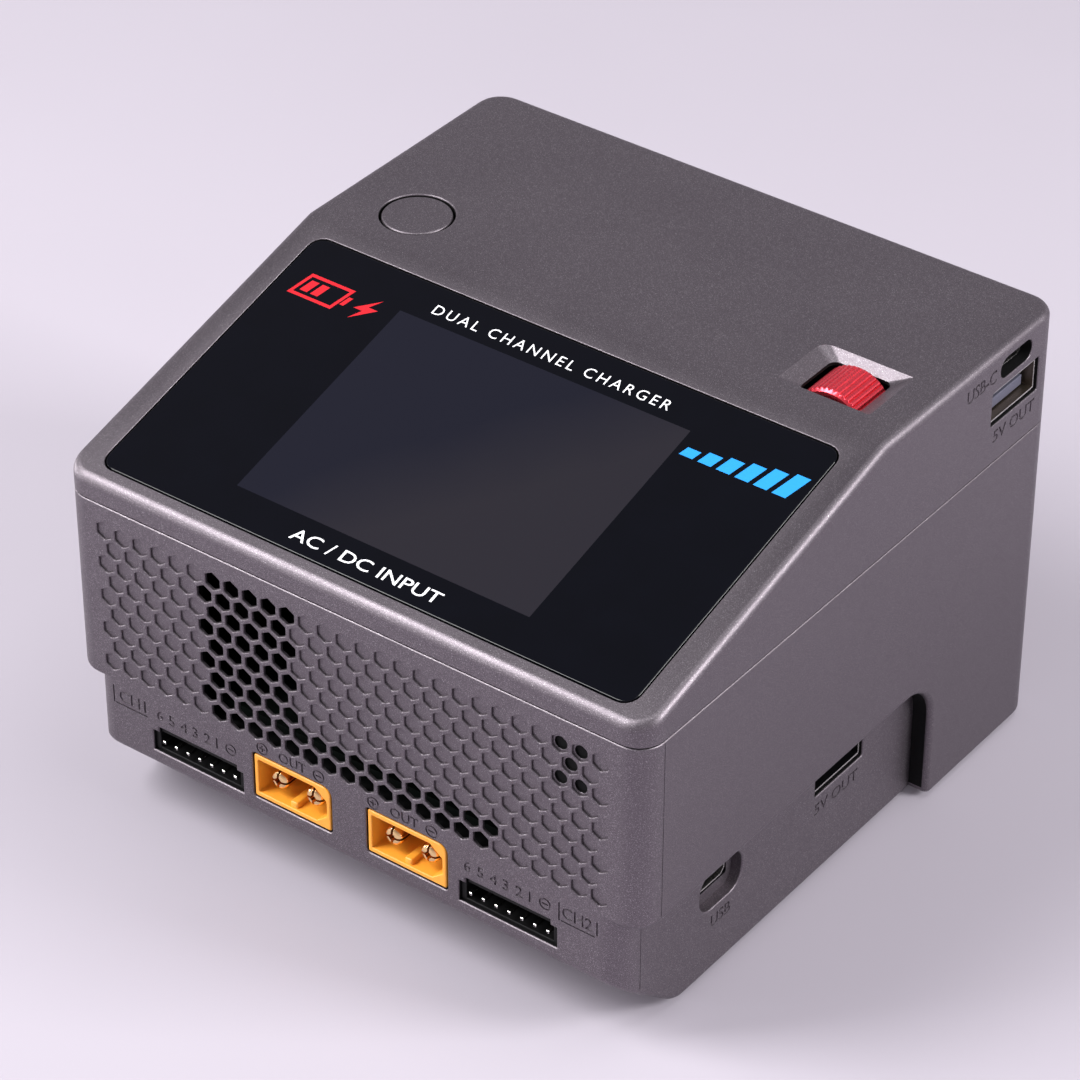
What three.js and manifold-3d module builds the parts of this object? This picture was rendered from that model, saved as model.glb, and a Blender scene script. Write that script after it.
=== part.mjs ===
// A two-channel balance battery charger on its four feet, in millimetres, with +Z up.
// The origin is on the ground under the middle of the casing, and the front faces -Y.
// Inside the group, y is counted back from the front face and z up from the casing's underside.
import * as THREE from 'three';
import Module from 'manifold-3d';
import { mergeVertices } from 'three/addons/utils/BufferGeometryUtils.js';

const wasm = await Module();
wasm.setup();

// Casing
const WIDTH = 114.2;
const DEPTH = 113.2;
const HEIGHT = 80.8;
const FOOT_HEIGHT = 0.8;
const WALL = 2.2;
const SPLIT = 59.7; // height of the joint between the two half shells
const JOINT_GAP = 0.2;
const FRONT_RADIUS = 4.6;
const REAR_RADIUS = 5;
const FRONT_EDGE = 63.8; // where the front face meets the sloped display face
const SLOPE_END = 62.3; // where the display face meets the top
const GRIP_HALF_WIDTH = 53.5; // the lower sides step in to this
const GRIP_TOP = 24.7;
const GRIP_END = 80.9;
const GRIP_RADIUS = 7.9;
const CHIN_HEIGHT = 12;
const CHIN_DEPTH = 14.5;
const CLEARANCE = 0.3; // between pieces that sit in one another

// Front grille
const CELL_PITCH = 3.755;
const CELL_FLATS = 2.96;
const CELL_ROWS = 9;
const CELL_TOP_ROW = 54.7;
const GRILLE_WEB = 0.6; // wall thickness at the open cells
const SOUND_HOLE_RADIUS = 1.15;

// Display
const GLASS = { halfWidth: 51.8, low: 3.4, high: 60.4, radius: 2.5, thickness: 1.5 };
const SCREEN = { halfWidth: 34.6, low: 6.6, high: 56.6, thickness: 2.4 };

// Controls on the top face
const BUTTON = { x: -41.9, y: 72.1, radius: 5.95, holeRadius: 6.4, travel: 0.6 };
const WHEEL = { x: 41.65, y: 74.05, z: 74.3, radius: 6.4, root: 5.95, width: 8.7, teeth: 40 };
const WINDOW = { halfX: 8.65, halfY: 6.45, innerHalfX: 5.7, innerHalfY: 5.05, depth: 1.6, radius: 1.5 };
const AXLE_RADIUS = 1.2;
const CONTROL_BOARD_TOP = 63.5;

// Front connectors
const OUTPUT = { x: 11.6, z: 19.6, width: 15.6, height: 8.4, length: 16, pinRadius: 1.75, pinGap: 7.2 };
const BALANCE = { x: 31.4, z: 17, width: 18.9, height: 5, step: 1.3, pins: 7, pitch: 2.5, pin: 0.64 };

// Side ports: y and z are the middle of each opening
const USB_A = { width: 13.2, height: 5.7, length: 13, wall: 0.35 };
const USB_A_TOP = { y: 100.25, z: 70.4, face: WIDTH / 2 };
const USB_A_SIDE = { y: 59.05, z: 19.8, face: GRIP_HALF_WIDTH };
const USB_C = { y: 100, z: 76.8, width: 8.9, height: 3.2, length: 7, recess: 1.9 };
const MICRO_USB = { y: 26.1, z: 16.6, width: 7.5, height: 2.6, length: 5.6 };
const MICRO_POCKET = { width: 11.5, height: 7.6, radius: 3.2, depth: 1.9 };

// Boards, fan and power inputs
const BOARD = 1.6;
const MAIN_BOARD_Z = 12.3;
const SUPPLY_BOARD_Z = 27;
const FAN = { x: -21, z: 31, front: 93, size: 50, depth: 15, bore: 23.6, hub: 10.5, blades: 7 };
const PANEL = { halfWidth: 47, low: 6, high: 56, face: 112.9 };
const AC_INLET = { x: 30, z: 43, width: 27, height: 19.8, length: 25 };
const DC_INPUT = { x: 30, z: 18 };

// Screw posts and feet
const POSTS = [[-40, 21.6], [40, 21.6], [-51, 102], [51, 102]];
const POST = { radius: 4.3, bore: 3.2, shelf: 36, top: 48, bossRadius: 3.3 };
const SCREW = { radius: 1.4, headRadius: 2.8, headHeight: 2.4 };
const FEET = [[-42, 34], [42, 34], [-48, 90], [48, 90]];
const FOOT_RADIUS = 5;

const X = new THREE.Vector3(1, 0, 0);
const Y = new THREE.Vector3(0, 1, 0);
const Z = new THREE.Vector3(0, 0, 1);
const slopeAngle = Math.atan2(HEIGHT - FRONT_EDGE, SLOPE_END);

// ---- Solids ----

function toSolid(geometry) {
  geometry.deleteAttribute('normal');
  geometry.deleteAttribute('uv');
  const merged = mergeVertices(geometry, 1e-5);
  return new wasm.Manifold(new wasm.Mesh({
    numProp: 3,
    vertProperties: new Float32Array(merged.attributes.position.array),
    triVerts: new Uint32Array(merged.index.array),
  }));
}

function toGeometry(solid) {
  const mesh = solid.getMesh();
  const geometry = new THREE.BufferGeometry();
  geometry.setAttribute('position', new THREE.BufferAttribute(mesh.vertProperties, 3));
  geometry.setIndex(new THREE.BufferAttribute(mesh.triVerts, 1));
  geometry.computeVertexNormals();
  return geometry;
}

// An outline pushed along an axis: (x, y) along z, (x, z) along y, or (y, z) along x.
function prism(axis, outlines, from, to, segments = 3) {
  const geometry = new THREE.ExtrudeGeometry(outlines, {
    depth: to - from,
    bevelEnabled: false,
    curveSegments: segments,
  });
  const turn = new THREE.Matrix4();
  if (axis === 'x') turn.makeBasis(Y, Z, X).setPosition(from, 0, 0);
  if (axis === 'y') turn.makeBasis(X, Z, Y.clone().negate()).setPosition(0, to, 0);
  if (axis === 'z') turn.setPosition(0, 0, from);
  return toSolid(geometry.applyMatrix4(turn));
}

// The same on the display face: x across, s up the slope from its front edge, n out of the face.
function slopePrism(outline, low, high) {
  const geometry = new THREE.ExtrudeGeometry(outline, {
    depth: high - low,
    bevelEnabled: false,
    curveSegments: 3,
  });
  geometry.translate(0, 0, low).rotateX(slopeAngle).translate(0, 0, FRONT_EDGE);
  return toSolid(geometry);
}

function block(x0, x1, y0, y1, z0, z1) {
  const geometry = new THREE.BoxGeometry(x1 - x0, y1 - y0, z1 - z0);
  return toSolid(geometry.translate((x0 + x1) / 2, (y0 + y1) / 2, (z0 + z1) / 2));
}

function join(...solids) {
  return solids.reduce((whole, next) => whole.add(next));
}

function cut(whole, ...tools) {
  return tools.reduce((left, tool) => left.subtract(tool), whole);
}

// ---- Outlines ----

function polygon(points) {
  return new THREE.Shape(points.map(([u, v]) => new THREE.Vector2(u, v)));
}

// A circle of straight sides, with its corners on the radius.
function ring(u, v, radius, sides = 16, turn = 0) {
  const corner = (i) => {
    const angle = turn + (i * 2 * Math.PI) / sides;
    return [u + radius * Math.cos(angle), v + radius * Math.sin(angle)];
  };
  return polygon(Array.from({ length: sides }, (_, i) => corner(i)));
}

// Corner radii run from the lower left corner round to the upper left one.
function rectangle(left, low, right, high, ...radii) {
  const [a, b, c, d] = radii.length === 4 ? radii : Array(4).fill(radii[0] ?? 0);
  const corners = [
    [left, low, a, 1, 1, Math.PI],
    [right, low, b, -1, 1, 1.5 * Math.PI],
    [right, high, c, -1, -1, 0],
    [left, high, d, 1, -1, 0.5 * Math.PI],
  ];
  const shape = new THREE.Shape();
  corners.forEach(([u, v, radius, du, dv, start], i) => {
    if (radius > 0) {
      shape.absarc(u + du * radius, v + dv * radius, radius, start, start + Math.PI / 2);
    } else if (i === 0) {
      shape.moveTo(u, v);
    } else {
      shape.lineTo(u, v);
    }
  });
  return shape;
}

function centred(u, v, width, height, ...radii) {
  return rectangle(u - width / 2, v - height / 2, u + width / 2, v + height / 2, ...radii);
}

function withHole(outline, hole) {
  outline.holes.push(hole);
  return outline;
}

// ---- The casing's outer shape, or that shape shrunk by a wall thickness ----

function slopeHeight(y, inset) {
  return FRONT_EDGE + y * Math.tan(slopeAngle) - inset / Math.cos(slopeAngle);
}

// Seen from the side (y, z): display slope, flat top, full-width rear foot and the grip's arc.
function sideOutline(inset) {
  const top = HEIGHT - inset;
  const slopeTop = (top - slopeHeight(0, inset)) / Math.tan(slopeAngle);
  const [arcY, arcZ] = [GRIP_END - GRIP_RADIUS, GRIP_TOP - GRIP_RADIUS];
  const shape = new THREE.Shape();
  shape.moveTo(-1, slopeHeight(-1, inset));
  shape.lineTo(-1, GRIP_TOP + inset);
  shape.absarc(arcY, arcZ, GRIP_RADIUS + inset, Math.PI / 2, 0, true);
  shape.lineTo(GRIP_END + inset, inset);
  shape.lineTo(DEPTH + 1, inset);
  shape.lineTo(DEPTH + 1, top);
  shape.lineTo(slopeTop, top);
  return shape;
}

function footprint(inset, low, high) {
  const [front, rear] = [FRONT_RADIUS - inset, REAR_RADIUS - inset];
  const edge = WIDTH / 2 - inset;
  return prism('z', rectangle(-edge, inset, edge, DEPTH - inset, front, front, rear, rear), low, high);
}

// The narrow lower front part, with its cut-back chin.
function gripBlock(inset) {
  const edge = GRIP_HALF_WIDTH - inset;
  const radius = FRONT_RADIUS - inset;
  const back = GRIP_END + inset + 1;
  const slant = CHIN_HEIGHT / CHIN_DEPTH;
  const lift = inset * Math.hypot(1, slant);
  const side = polygon([
    [-1, CHIN_HEIGHT + slant + lift],
    [(CHIN_HEIGHT + lift - inset) / slant, inset],
    [back, inset],
    [back, GRIP_TOP + inset + 1],
    [-1, GRIP_TOP + inset + 1],
  ]);
  const plan = rectangle(-edge, inset, edge, back, radius, radius, 0, 0);
  return prism('x', side, -WIDTH / 2, WIDTH / 2).intersect(prism('z', plan, -1, GRIP_TOP + WALL + 2));
}

function casingBlock(inset) {
  const side = prism('x', sideOutline(inset), -WIDTH, WIDTH);
  return side.intersect(footprint(inset, -1, HEIGHT + 1)).add(gripBlock(inset));
}

// ---- Top cover ----

// The well for the wheel: sloping sides down to a smaller window.
function wheelWell() {
  const [low, high] = [HEIGHT - WINDOW.depth, HEIGHT + 1];
  const geometry = new THREE.BoxGeometry(2, 2, 2);
  const corners = geometry.attributes.position;
  for (let i = 0; i < corners.count; i += 1) {
    const z = corners.getZ(i) < 0 ? low : high;
    const spread = (z - low) / WINDOW.depth;
    const halfX = THREE.MathUtils.lerp(WINDOW.innerHalfX, WINDOW.halfX, spread);
    const halfY = THREE.MathUtils.lerp(WINDOW.innerHalfY, WINDOW.halfY, spread);
    corners.setXYZ(i, WHEEL.x + corners.getX(i) * halfX, WHEEL.y + corners.getY(i) * halfY, z);
  }
  const window = centred(WHEEL.x, WHEEL.y, 2 * WINDOW.innerHalfX, 2 * WINDOW.innerHalfY, WINDOW.radius);
  return toSolid(geometry).add(prism('z', window, HEIGHT - WALL - 1, HEIGHT - 1));
}

function displayRecess() {
  const { halfWidth, low, high, radius, thickness } = GLASS;
  const g = CLEARANCE;
  const recess = rectangle(-halfWidth - g, low - g, halfWidth + g, high + g, radius + g);
  const window = rectangle(-SCREEN.halfWidth - g, SCREEN.low - g, SCREEN.halfWidth + g, SCREEN.high + g);
  return join(slopePrism(recess, -thickness - g, 3), slopePrism(window, -8, 0));
}

// Posts that hang from the inside of the cover: screw bosses and the supports of two boards.
function coverPosts() {
  const low = POST.top + JOINT_GAP;
  const posts = POSTS.map(([x, y]) => {
    const short = Math.abs(x) > GRIP_HALF_WIDTH - 10;
    const top = short ? SPLIT + 4.3 : HEIGHT;
    const boss = prism('z', ring(x, y, POST.bossRadius), low, top);
    const reach = x + Math.sign(x) * 5;
    const web = block(Math.min(x, reach), Math.max(x, reach), y - 1.2, y + 1.2, SPLIT + 1.4, SPLIT + 4.3);
    return short ? boss.add(web) : boss;
  });
  const supports = [-30, 28].flatMap((x) => [67, 88].map((y) => (
    prism('z', ring(x, y, 2.2, 10), CONTROL_BOARD_TOP + 0.1, HEIGHT)
  )));
  const usbSupports = [94, 105].map((y) => (
    prism('z', ring(39, y, 2, 10), USB_C.z - USB_C.height / 2 + 0.05, HEIGHT)
  ));
  return join(...posts, ...supports, ...usbSupports);
}

function pilotHoles() {
  return join(...POSTS.map(([x, y]) => prism('z', ring(x, y, SCREW.radius + 0.1, 12), POST.top, SPLIT + 3)));
}

function topCover() {
  const frameOutline = rectangle(-54, 4, 54, 62.5);
  const inner = casingBlock(1);
  const thick = join(slopePrism(frameOutline, -4.2, -1), coverPosts()).intersect(inner);
  const keep = block(-WIDTH, WIDTH, -5, DEPTH + 5, SPLIT + JOINT_GAP / 2, HEIGHT + 5);
  const shell = casingBlock(0).subtract(casingBlock(WALL)).intersect(keep);
  const face = WIDTH / 2;
  return cut(
    shell.add(thick),
    displayRecess(),
    wheelWell(),
    prism('z', ring(BUTTON.x, BUTTON.y, BUTTON.holeRadius, 32), HEIGHT - WALL - 1, HEIGHT + 1),
    prism('x', centred(USB_C.y, USB_C.z, 9.4, 3.8, 1.85), face - WALL - 1, face + 1),
    prism('x', centred(USB_A_TOP.y, USB_A_TOP.z, 13.9, 6.4, 0.3), face - WALL - 1, face + 1),
    pilotHoles(),
  );
}

// ---- Lower housing ----

function hexagon(x, z) {
  return ring(x, z, CELL_FLATS / Math.sqrt(3), 6, Math.PI / 2);
}

// Open cells of the honeycomb: a tall block on the left and the two bottom rows across the front.
function openCells() {
  const rowPitch = (CELL_PITCH * Math.sqrt(3)) / 2;
  const cells = [];
  for (let row = 0; row < CELL_ROWS; row += 1) {
    const shift = row % 2 ? 0.5 : 0;
    const last = row < CELL_ROWS - 2 ? -3 - shift : 7 + shift;
    for (let column = -7 - shift; column <= last; column += 1) {
      cells.push(hexagon(column * CELL_PITCH, CELL_TOP_ROW - row * rowPitch));
    }
  }
  return prism('y', cells, -1, WALL + 1);
}

// The wall is thin behind the open cells.
function grilleThinning() {
  return join(
    block(-30.4, -9, GRILLE_WEB, WALL + 1, 26.6, 56.9),
    block(-30.4, 30.4, GRILLE_WEB, WALL + 1, 26.6, 34.2),
  );
}

function soundHoles() {
  const rowPitch = (CELL_PITCH * Math.sqrt(3)) / 2;
  const spots = [[11, 0], [12, 0], [11.5, 1], [11, 2], [12, 2]];
  const hole = ([column, row]) => (
    ring(column * CELL_PITCH, CELL_TOP_ROW - row * rowPitch, SOUND_HOLE_RADIUS, 12)
  );
  return prism('y', spots.map(hole), -1, WALL + 1);
}

// Seen from the front, with the keyed upper corners stepped down.
function balanceOutline(x, grow) {
  const { width, height, step, z } = BALANCE;
  const [w, h] = [width / 2 + grow, height / 2 + grow];
  return polygon([
    [x - w, z - h], [x + w, z - h], [x + w, z + h - 1.05], [x + w - step, z + h - 1.05],
    [x + w - step, z + h], [x - w + step, z + h], [x - w + step, z + h - 1.05], [x - w, z + h - 1.05],
  ]);
}

function outputOutline(x, z, grow) {
  const { width, height } = OUTPUT;
  return centred(x, z, width + 2 * grow, height + 2 * grow, 0.4, 0.4, 1.6 + grow, 0.4);
}

function frontCutouts() {
  return join(...[-1, 1].map((side) => join(
    prism('y', outputOutline(side * OUTPUT.x, OUTPUT.z, CLEARANCE), -1, WALL + 1),
    prism('y', balanceOutline(side * BALANCE.x, 0.05), -1, WALL + 1),
  )));
}

function sideCutouts() {
  const face = GRIP_HALF_WIDTH;
  const { width, height, radius, depth } = MICRO_POCKET;
  const port = centred(MICRO_USB.y, MICRO_USB.z, MICRO_USB.width + 0.5, MICRO_USB.height + 0.5, 0.5);
  return join(
    prism('x', centred(USB_A_SIDE.y, USB_A_SIDE.z, 13.7, 6.6, 0.3), face - WALL - 1, face + 1),
    prism('x', centred(MICRO_USB.y, MICRO_USB.z, width, height, radius), face - depth, face + 1),
    prism('x', port, face - 7, face),
  );
}

function rearCutout() {
  const { halfWidth, low, high } = PANEL;
  return prism('y', rectangle(-halfWidth, low, halfWidth, high, 1), DEPTH - 5, DEPTH + 1);
}

// The rim inside the joint, which the top cover slips over, notched for the cover's screw bosses.
function jointRim() {
  const wide = footprint(1, SPLIT - 1.6, SPLIT - 0.4);
  const high = footprint(WALL + 0.2, SPLIT - 1.6, SPLIT + 1.1);
  const bosses = POSTS.map(([x, y]) => (
    prism('z', ring(x, y, POST.bossRadius + CLEARANCE), SPLIT - 6, SPLIT + 3)
  ));
  return cut(join(wide, high), footprint(WALL + 1.2, SPLIT - 6, SPLIT + 3), ...bosses);
}

function housingPosts() {
  const screws = POSTS.map(([x, y]) => prism('z', ring(x, y, POST.radius), 0.5, POST.top));
  const standoffs = [-44, 44].flatMap((x) => [40, 80].map((y) => (
    prism('z', ring(x, y, 2.5, 10), 1, MAIN_BOARD_Z - 0.1)
  )));
  return join(...screws, ...standoffs).intersect(casingBlock(0.5));
}

function housingBores() {
  const bores = POSTS.map(([x, y]) => join(
    prism('z', ring(x, y, POST.bore), -1, POST.shelf),
    prism('z', ring(x, y, SCREW.radius + 0.3, 12), POST.shelf - 1, POST.top + 1),
  ));
  const footRecesses = FEET.map(([x, y]) => prism('z', ring(x, y, FOOT_RADIUS + 0.3, 24), -1, 0.9));
  return join(...bores, ...footRecesses);
}

function lowerHousing() {
  const face = GRIP_HALF_WIDTH;
  const keep = block(-WIDTH, WIDTH, -5, DEPTH + 5, -5, SPLIT - JOINT_GAP / 2);
  const shell = casingBlock(0).subtract(casingBlock(WALL)).intersect(keep);
  const portPad = block(face - 4.1, face - 1, 18.5, 33.7, 14, 21.5);
  return cut(
    join(shell, jointRim(), housingPosts(), portPad),
    housingBores(),
    openCells(),
    grilleThinning(),
    soundHoles(),
    frontCutouts(),
    sideCutouts(),
    rearCutout(),
  );
}

// ---- Rear panel ----

// Fan slots: straight bars clipped by a circle.
function fanSlots() {
  const slots = [];
  for (let level = -4.5; level <= 4.5; level += 1) {
    const z = level * 4.4;
    const half = Math.sqrt(22.6 ** 2 - z ** 2);
    slots.push(centred(FAN.x, FAN.z + z, 2 * half, 2.6, 1.25));
  }
  return prism('y', slots, PANEL.face - 8, PANEL.face + 1);
}

function rearPanel() {
  const g = CLEARANCE;
  const { halfWidth, low, high, face } = PANEL;
  const plate = rectangle(-halfWidth + g, low + g, halfWidth - g, high - g, 0.8);
  const flange = rectangle(-halfWidth - 2, low - 2, halfWidth + 2, high + 1.5);
  const inlet = centred(AC_INLET.x, AC_INLET.z, AC_INLET.width + g, AC_INLET.height + g, 1);
  const { width, height } = OUTPUT;
  const dc = centred(DC_INPUT.x, DC_INPUT.z, width + 2 * g, height + 2 * g, 0.4, 0.4, 0.4, 1.6);
  return cut(
    join(prism('y', plate, face - 3, face), prism('y', flange, face - 4.2, face - 2.2)),
    fanSlots(),
    prism('y', [inlet, dc], face - 6, face + 1),
  );
}

// ---- Controls ----

// Cap, retaining flange and stem, turned about the button's axis.
function powerButton() {
  const { radius } = BUTTON;
  const profile = [
    [0, 68.7], [1.5, 68.7], [1.5, 76.2], [7.3, 76.2], [7.3, HEIGHT - WALL - 0.1],
    [radius, HEIGHT - WALL - 0.1], [radius, HEIGHT - 0.35], [radius - 0.25, HEIGHT - 0.1], [0, HEIGHT - 0.1],
  ];
  const geometry = new THREE.LatheGeometry(profile.map(([r, z]) => new THREE.Vector2(r, z)), 32);
  return toSolid(geometry.rotateX(Math.PI / 2).translate(BUTTON.x, BUTTON.y, 0));
}

function buttonSwitch() {
  const { x, y } = BUTTON;
  const top = CONTROL_BOARD_TOP;
  return join(
    block(x - 3, x + 3, y - 3, y + 3, top + 0.05, top + 3.5),
    prism('z', ring(x, y, 1.7, 12), top + 3, top + 4.5),
  );
}

// Knurled rim, with a shallow dish in each end face and a bore for the axle.
function thumbWheel() {
  const { x, y, z, radius, root, width, teeth } = WHEEL;
  const rim = Array.from({ length: 2 * teeth }, (_, i) => {
    const r = i % 2 ? root : radius;
    const angle = (i * Math.PI) / teeth;
    return [x + r * Math.cos(angle), z + r * Math.sin(angle)];
  });
  const [front, back] = [y - width / 2, y + width / 2];
  return cut(
    prism('y', polygon(rim), front, back),
    prism('y', ring(x, z, 5.2, 24), front - 1, front + 1),
    prism('y', ring(x, z, 5.2, 24), back - 1, back + 1),
    prism('y', ring(x, z, AXLE_RADIUS + 0.05, 16), front - 1, back + 1),
  );
}

function wheelAxle() {
  return prism('y', ring(WHEEL.x, WHEEL.z, AXLE_RADIUS, 16), WHEEL.y - 6.4, WHEEL.y + 6.4);
}

// Two ears that carry the axle, on a base that rises and falls over the encoder.
function wheelCradle() {
  const { x, y, z } = WHEEL;
  const base = CONTROL_BOARD_TOP + 2.4;
  const side = rectangle(x - 3, base + 0.2, x + 3, z + 2.4, 0, 0, 2, 2);
  const ear = (low) => prism('y', side, low, low + 1.2);
  return cut(
    join(
      block(x - 6, x + 6, y - 6, y + 6, base, base + 1.4),
      ear(y - 6),
      ear(y + 4.8),
    ),
    prism('y', ring(x, z, AXLE_RADIUS + 0.08, 24), y - 8, y + 8),
  );
}

function wheelEncoder() {
  const { x, y } = WHEEL;
  const top = CONTROL_BOARD_TOP;
  return block(x - 6, x + 6, y - 6.5, y + 6.5, top + 0.05, top + 1.7);
}

function controlBoard() {
  const top = CONTROL_BOARD_TOP;
  return prism('z', rectangle(-50, 62, 51, 92, 1), top - BOARD, top);
}

function buzzer() {
  const [x, z] = [11.5 * CELL_PITCH - 0.5, CELL_TOP_ROW - 3.2];
  return cut(
    prism('y', ring(x, z, 6, 24), WALL + 0.6, WALL + 8),
    prism('y', ring(x, z, 1, 10), WALL, WALL + 2),
  );
}

// ---- Display, placed in a group that lies on the sloped face ----

function flatPrism(outline, low, high) {
  return toGeometry(prism('z', outline, low, high));
}

function displayGlass() {
  const { halfWidth, low, high, radius, thickness } = GLASS;
  return flatPrism(rectangle(-halfWidth, low, halfWidth, high, radius), -thickness, 0);
}

function lcdModule() {
  const top = -GLASS.thickness - CLEARANCE;
  const outline = rectangle(-SCREEN.halfWidth, SCREEN.low, SCREEN.halfWidth, SCREEN.high);
  return flatPrism(outline, top - SCREEN.thickness, top);
}

function displayBoard() {
  const top = -GLASS.thickness - 2 * CLEARANCE - SCREEN.thickness - 0.3;
  return flatPrism(rectangle(-35.4, 5, 35.4, 59), top - BOARD, top);
}

// ---- Connectors: each shell's mouth is at y = 0 and it runs back along +Y ----

// A rectangular shell with two keyed corners inside, a rib on its floor and holes for the pins.
function connectorShell() {
  const { width, height, length, pinRadius, pinGap } = OUTPUT;
  const [left, right, low, high] = [0.8 - width / 2, width / 2 - 0.8, 0.9 - height / 2, height / 2 - 0.9];
  const cavity = polygon([
    [left, low], [right - 2.1, low], [right, low + 1.7],
    [right, high - 1.9], [right - 2.4, high], [left, high],
  ]);
  const holes = [-1, 1].map((side) => ring((side * pinGap) / 2, 0, pinRadius + 0.08, 12));
  return cut(
    prism('y', outputOutline(0, 0, 0), 0, length),
    prism('y', cavity, -1, length - 3),
    prism('y', holes, length - 4, length + 1),
  ).add(block(-0.55, 0.55, 0.8, length - 2, low - 0.2, low + 1));
}

// A bullet pin split into four by a cross slot.
function bulletPin() {
  const { pinRadius: r, length } = OUTPUT;
  const profile = [[0, 0.8], [r - 0.5, 0.8], [r, 1.4], [r, length + 2], [0, length + 2]];
  const geometry = new THREE.LatheGeometry(profile.map(([u, v]) => new THREE.Vector2(u, v)), 12);
  return cut(
    toSolid(geometry),
    block(-0.25, 0.25, 0, 8, -r - 1, r + 1),
    block(-r - 1, r + 1, 0, 8, -0.25, 0.25),
    prism('y', ring(0, 0, 0.7, 8), 0, 8),
  );
}

function balancePinPlaces(x) {
  const { pins, pitch } = BALANCE;
  return Array.from({ length: pins }, (_, i) => x + (i - (pins - 1) / 2) * pitch);
}

function balanceShell(x) {
  const z = BALANCE.z - 0.4;
  const holes = balancePinPlaces(x).map((at) => centred(at, z, BALANCE.pin + 0.2, BALANCE.pin + 0.2));
  const { width, height } = BALANCE;
  const cavity = centred(x, BALANCE.z - 0.3, width - 2, height - 1.6);
  return cut(
    prism('y', balanceOutline(x, -0.15), 0.4, 12),
    prism('y', cavity, 0, 9.4),
    prism('y', holes, 9, 13),
  );
}

// Seven square pins on a common foot strip behind the shell.
function balancePins(x) {
  const z = BALANCE.z - 0.4;
  const half = BALANCE.pin / 2;
  const pins = balancePinPlaces(x).map((at) => centred(at, z, BALANCE.pin, BALANCE.pin));
  const strip = block(x - 8, x + 8, 12.3, 12.9, MAIN_BOARD_Z + BOARD + 0.05, z + half);
  return join(prism('y', pins, 0.8, 12.6), strip);
}

// ---- USB ports in the right-hand wall, opening towards +X ----

function usbAShell({ y, z, face }) {
  const { width, height, length, wall } = USB_A;
  const bore = centred(y, z, width - 2 * wall, height - 2 * wall, 0.2);
  return prism('x', withHole(centred(y, z, width, height, 0.4), bore), face - 0.5 - length, face - 0.5);
}

function usbATongue({ y, z, face }, low) {
  const { width, height, length, wall } = USB_A;
  const back = face - 0.5 - length;
  const [plugWidth, plugHeight] = [width - 2 * wall - 0.1, height - 2 * wall - 0.1];
  return join(
    prism('x', centred(y, z, plugWidth, plugHeight, 0.2), back + 0.2, back + 3.5),
    block(back + 3, face - 2.1, y - 5.4, y + 5.4, low, low + 1.9),
  );
}

function usbCShell() {
  const { y, z, width, height, length, recess } = USB_C;
  const tube = withHole(centred(y, z, width, height, 1.55), centred(y, z, width - 0.6, height - 0.6, 1.25));
  return prism('x', tube, WIDTH / 2 - recess - length, WIDTH / 2 - recess);
}

function usbCTongue() {
  const { y, z, width, height, length, recess } = USB_C;
  const back = WIDTH / 2 - recess - length;
  return join(
    prism('x', centred(y, z, width - 0.8, height - 0.8, 1.15), back + 0.1, back + 1.8),
    block(back + 1.5, back + 6.2, y - 3.3, y + 3.3, z - 0.35, z + 0.35),
  );
}

function usbBoard() {
  const top = USB_C.z - USB_C.height / 2 - 0.05;
  return prism('z', rectangle(36, 90, 54.5, 109, 0.8), top - 1.2, top);
}

// A micro USB outline: wide at the top, with cut lower corners.
function microOutline(grow) {
  const { y, z, width, height } = MICRO_USB;
  const [w, h] = [width / 2 + grow, height / 2 + grow];
  return polygon([
    [y - w + 1, z - h], [y + w - 1, z - h], [y + w, z - h + 1],
    [y + w, z + h], [y - w, z + h], [y - w, z - h + 1],
  ]);
}

function microUsbShell() {
  const floor = GRIP_HALF_WIDTH - MICRO_POCKET.depth;
  return prism('x', withHole(microOutline(0), microOutline(-0.3)), floor - MICRO_USB.length, floor - 0.05);
}

function microUsbTongue() {
  const back = GRIP_HALF_WIDTH - MICRO_POCKET.depth - MICRO_USB.length;
  const { y, z } = MICRO_USB;
  return join(
    prism('x', microOutline(-0.36), back + 0.1, back + 1.6),
    block(back + 1.3, back + 4.8, y - 1.9, y + 1.9, z + 0.1, z + 0.6),
  );
}

// ---- Power parts ----

function acInlet() {
  const { x, z, width, height, length } = AC_INLET;
  const back = PANEL.face - length;
  const cavity = polygon([
    [x - 12, z - 5.2], [x - 9, z - 8.2], [x + 9, z - 8.2],
    [x + 12, z - 5.2], [x + 12, z + 8.2], [x - 12, z + 8.2],
  ]);
  const holes = acPinPlaces().map(([u, v]) => centred(u, v, 2.2, 4.2));
  return cut(
    prism('y', centred(x, z, width, height, 1), back, PANEL.face),
    prism('y', cavity, PANEL.face - 16, PANEL.face + 1),
    prism('y', holes, back - 1, PANEL.face - 15),
  );
}

function acPinPlaces() {
  const { x, z } = AC_INLET;
  return [[x + 7, z - 2], [x - 7, z - 2], [x, z + 2]];
}

function acPin([u, v]) {
  return prism('y', centred(u, v, 2, 4, 0.3), PANEL.face - AC_INLET.length - 2, PANEL.face - 2.5);
}

function fanFrame() {
  const { x, z, front, size, depth, bore, hub } = FAN;
  const back = front + depth;
  const body = withHole(centred(x, z, size, size, 3), ring(x, z, bore, 32));
  const holes = [-1, 1].flatMap((u) => [-1, 1].map((v) => ring(x + u * 20, z + v * 20, 2.1, 10)));
  const arm = (u, v) => block(x - u, x + u, back - 2.2, back - 0.2, z - v, z + v);
  const cup = prism('y', ring(x, z, hub, 24), back - 2.4, back - 0.2);
  return cut(
    join(prism('y', body, front, back), arm(1.2, bore + 0.5), arm(bore + 0.5, 1.2), cup),
    prism('y', holes, front - 1, back + 1),
    prism('y', ring(x, z, 1.6, 12), back - 4, back),
  );
}

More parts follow.
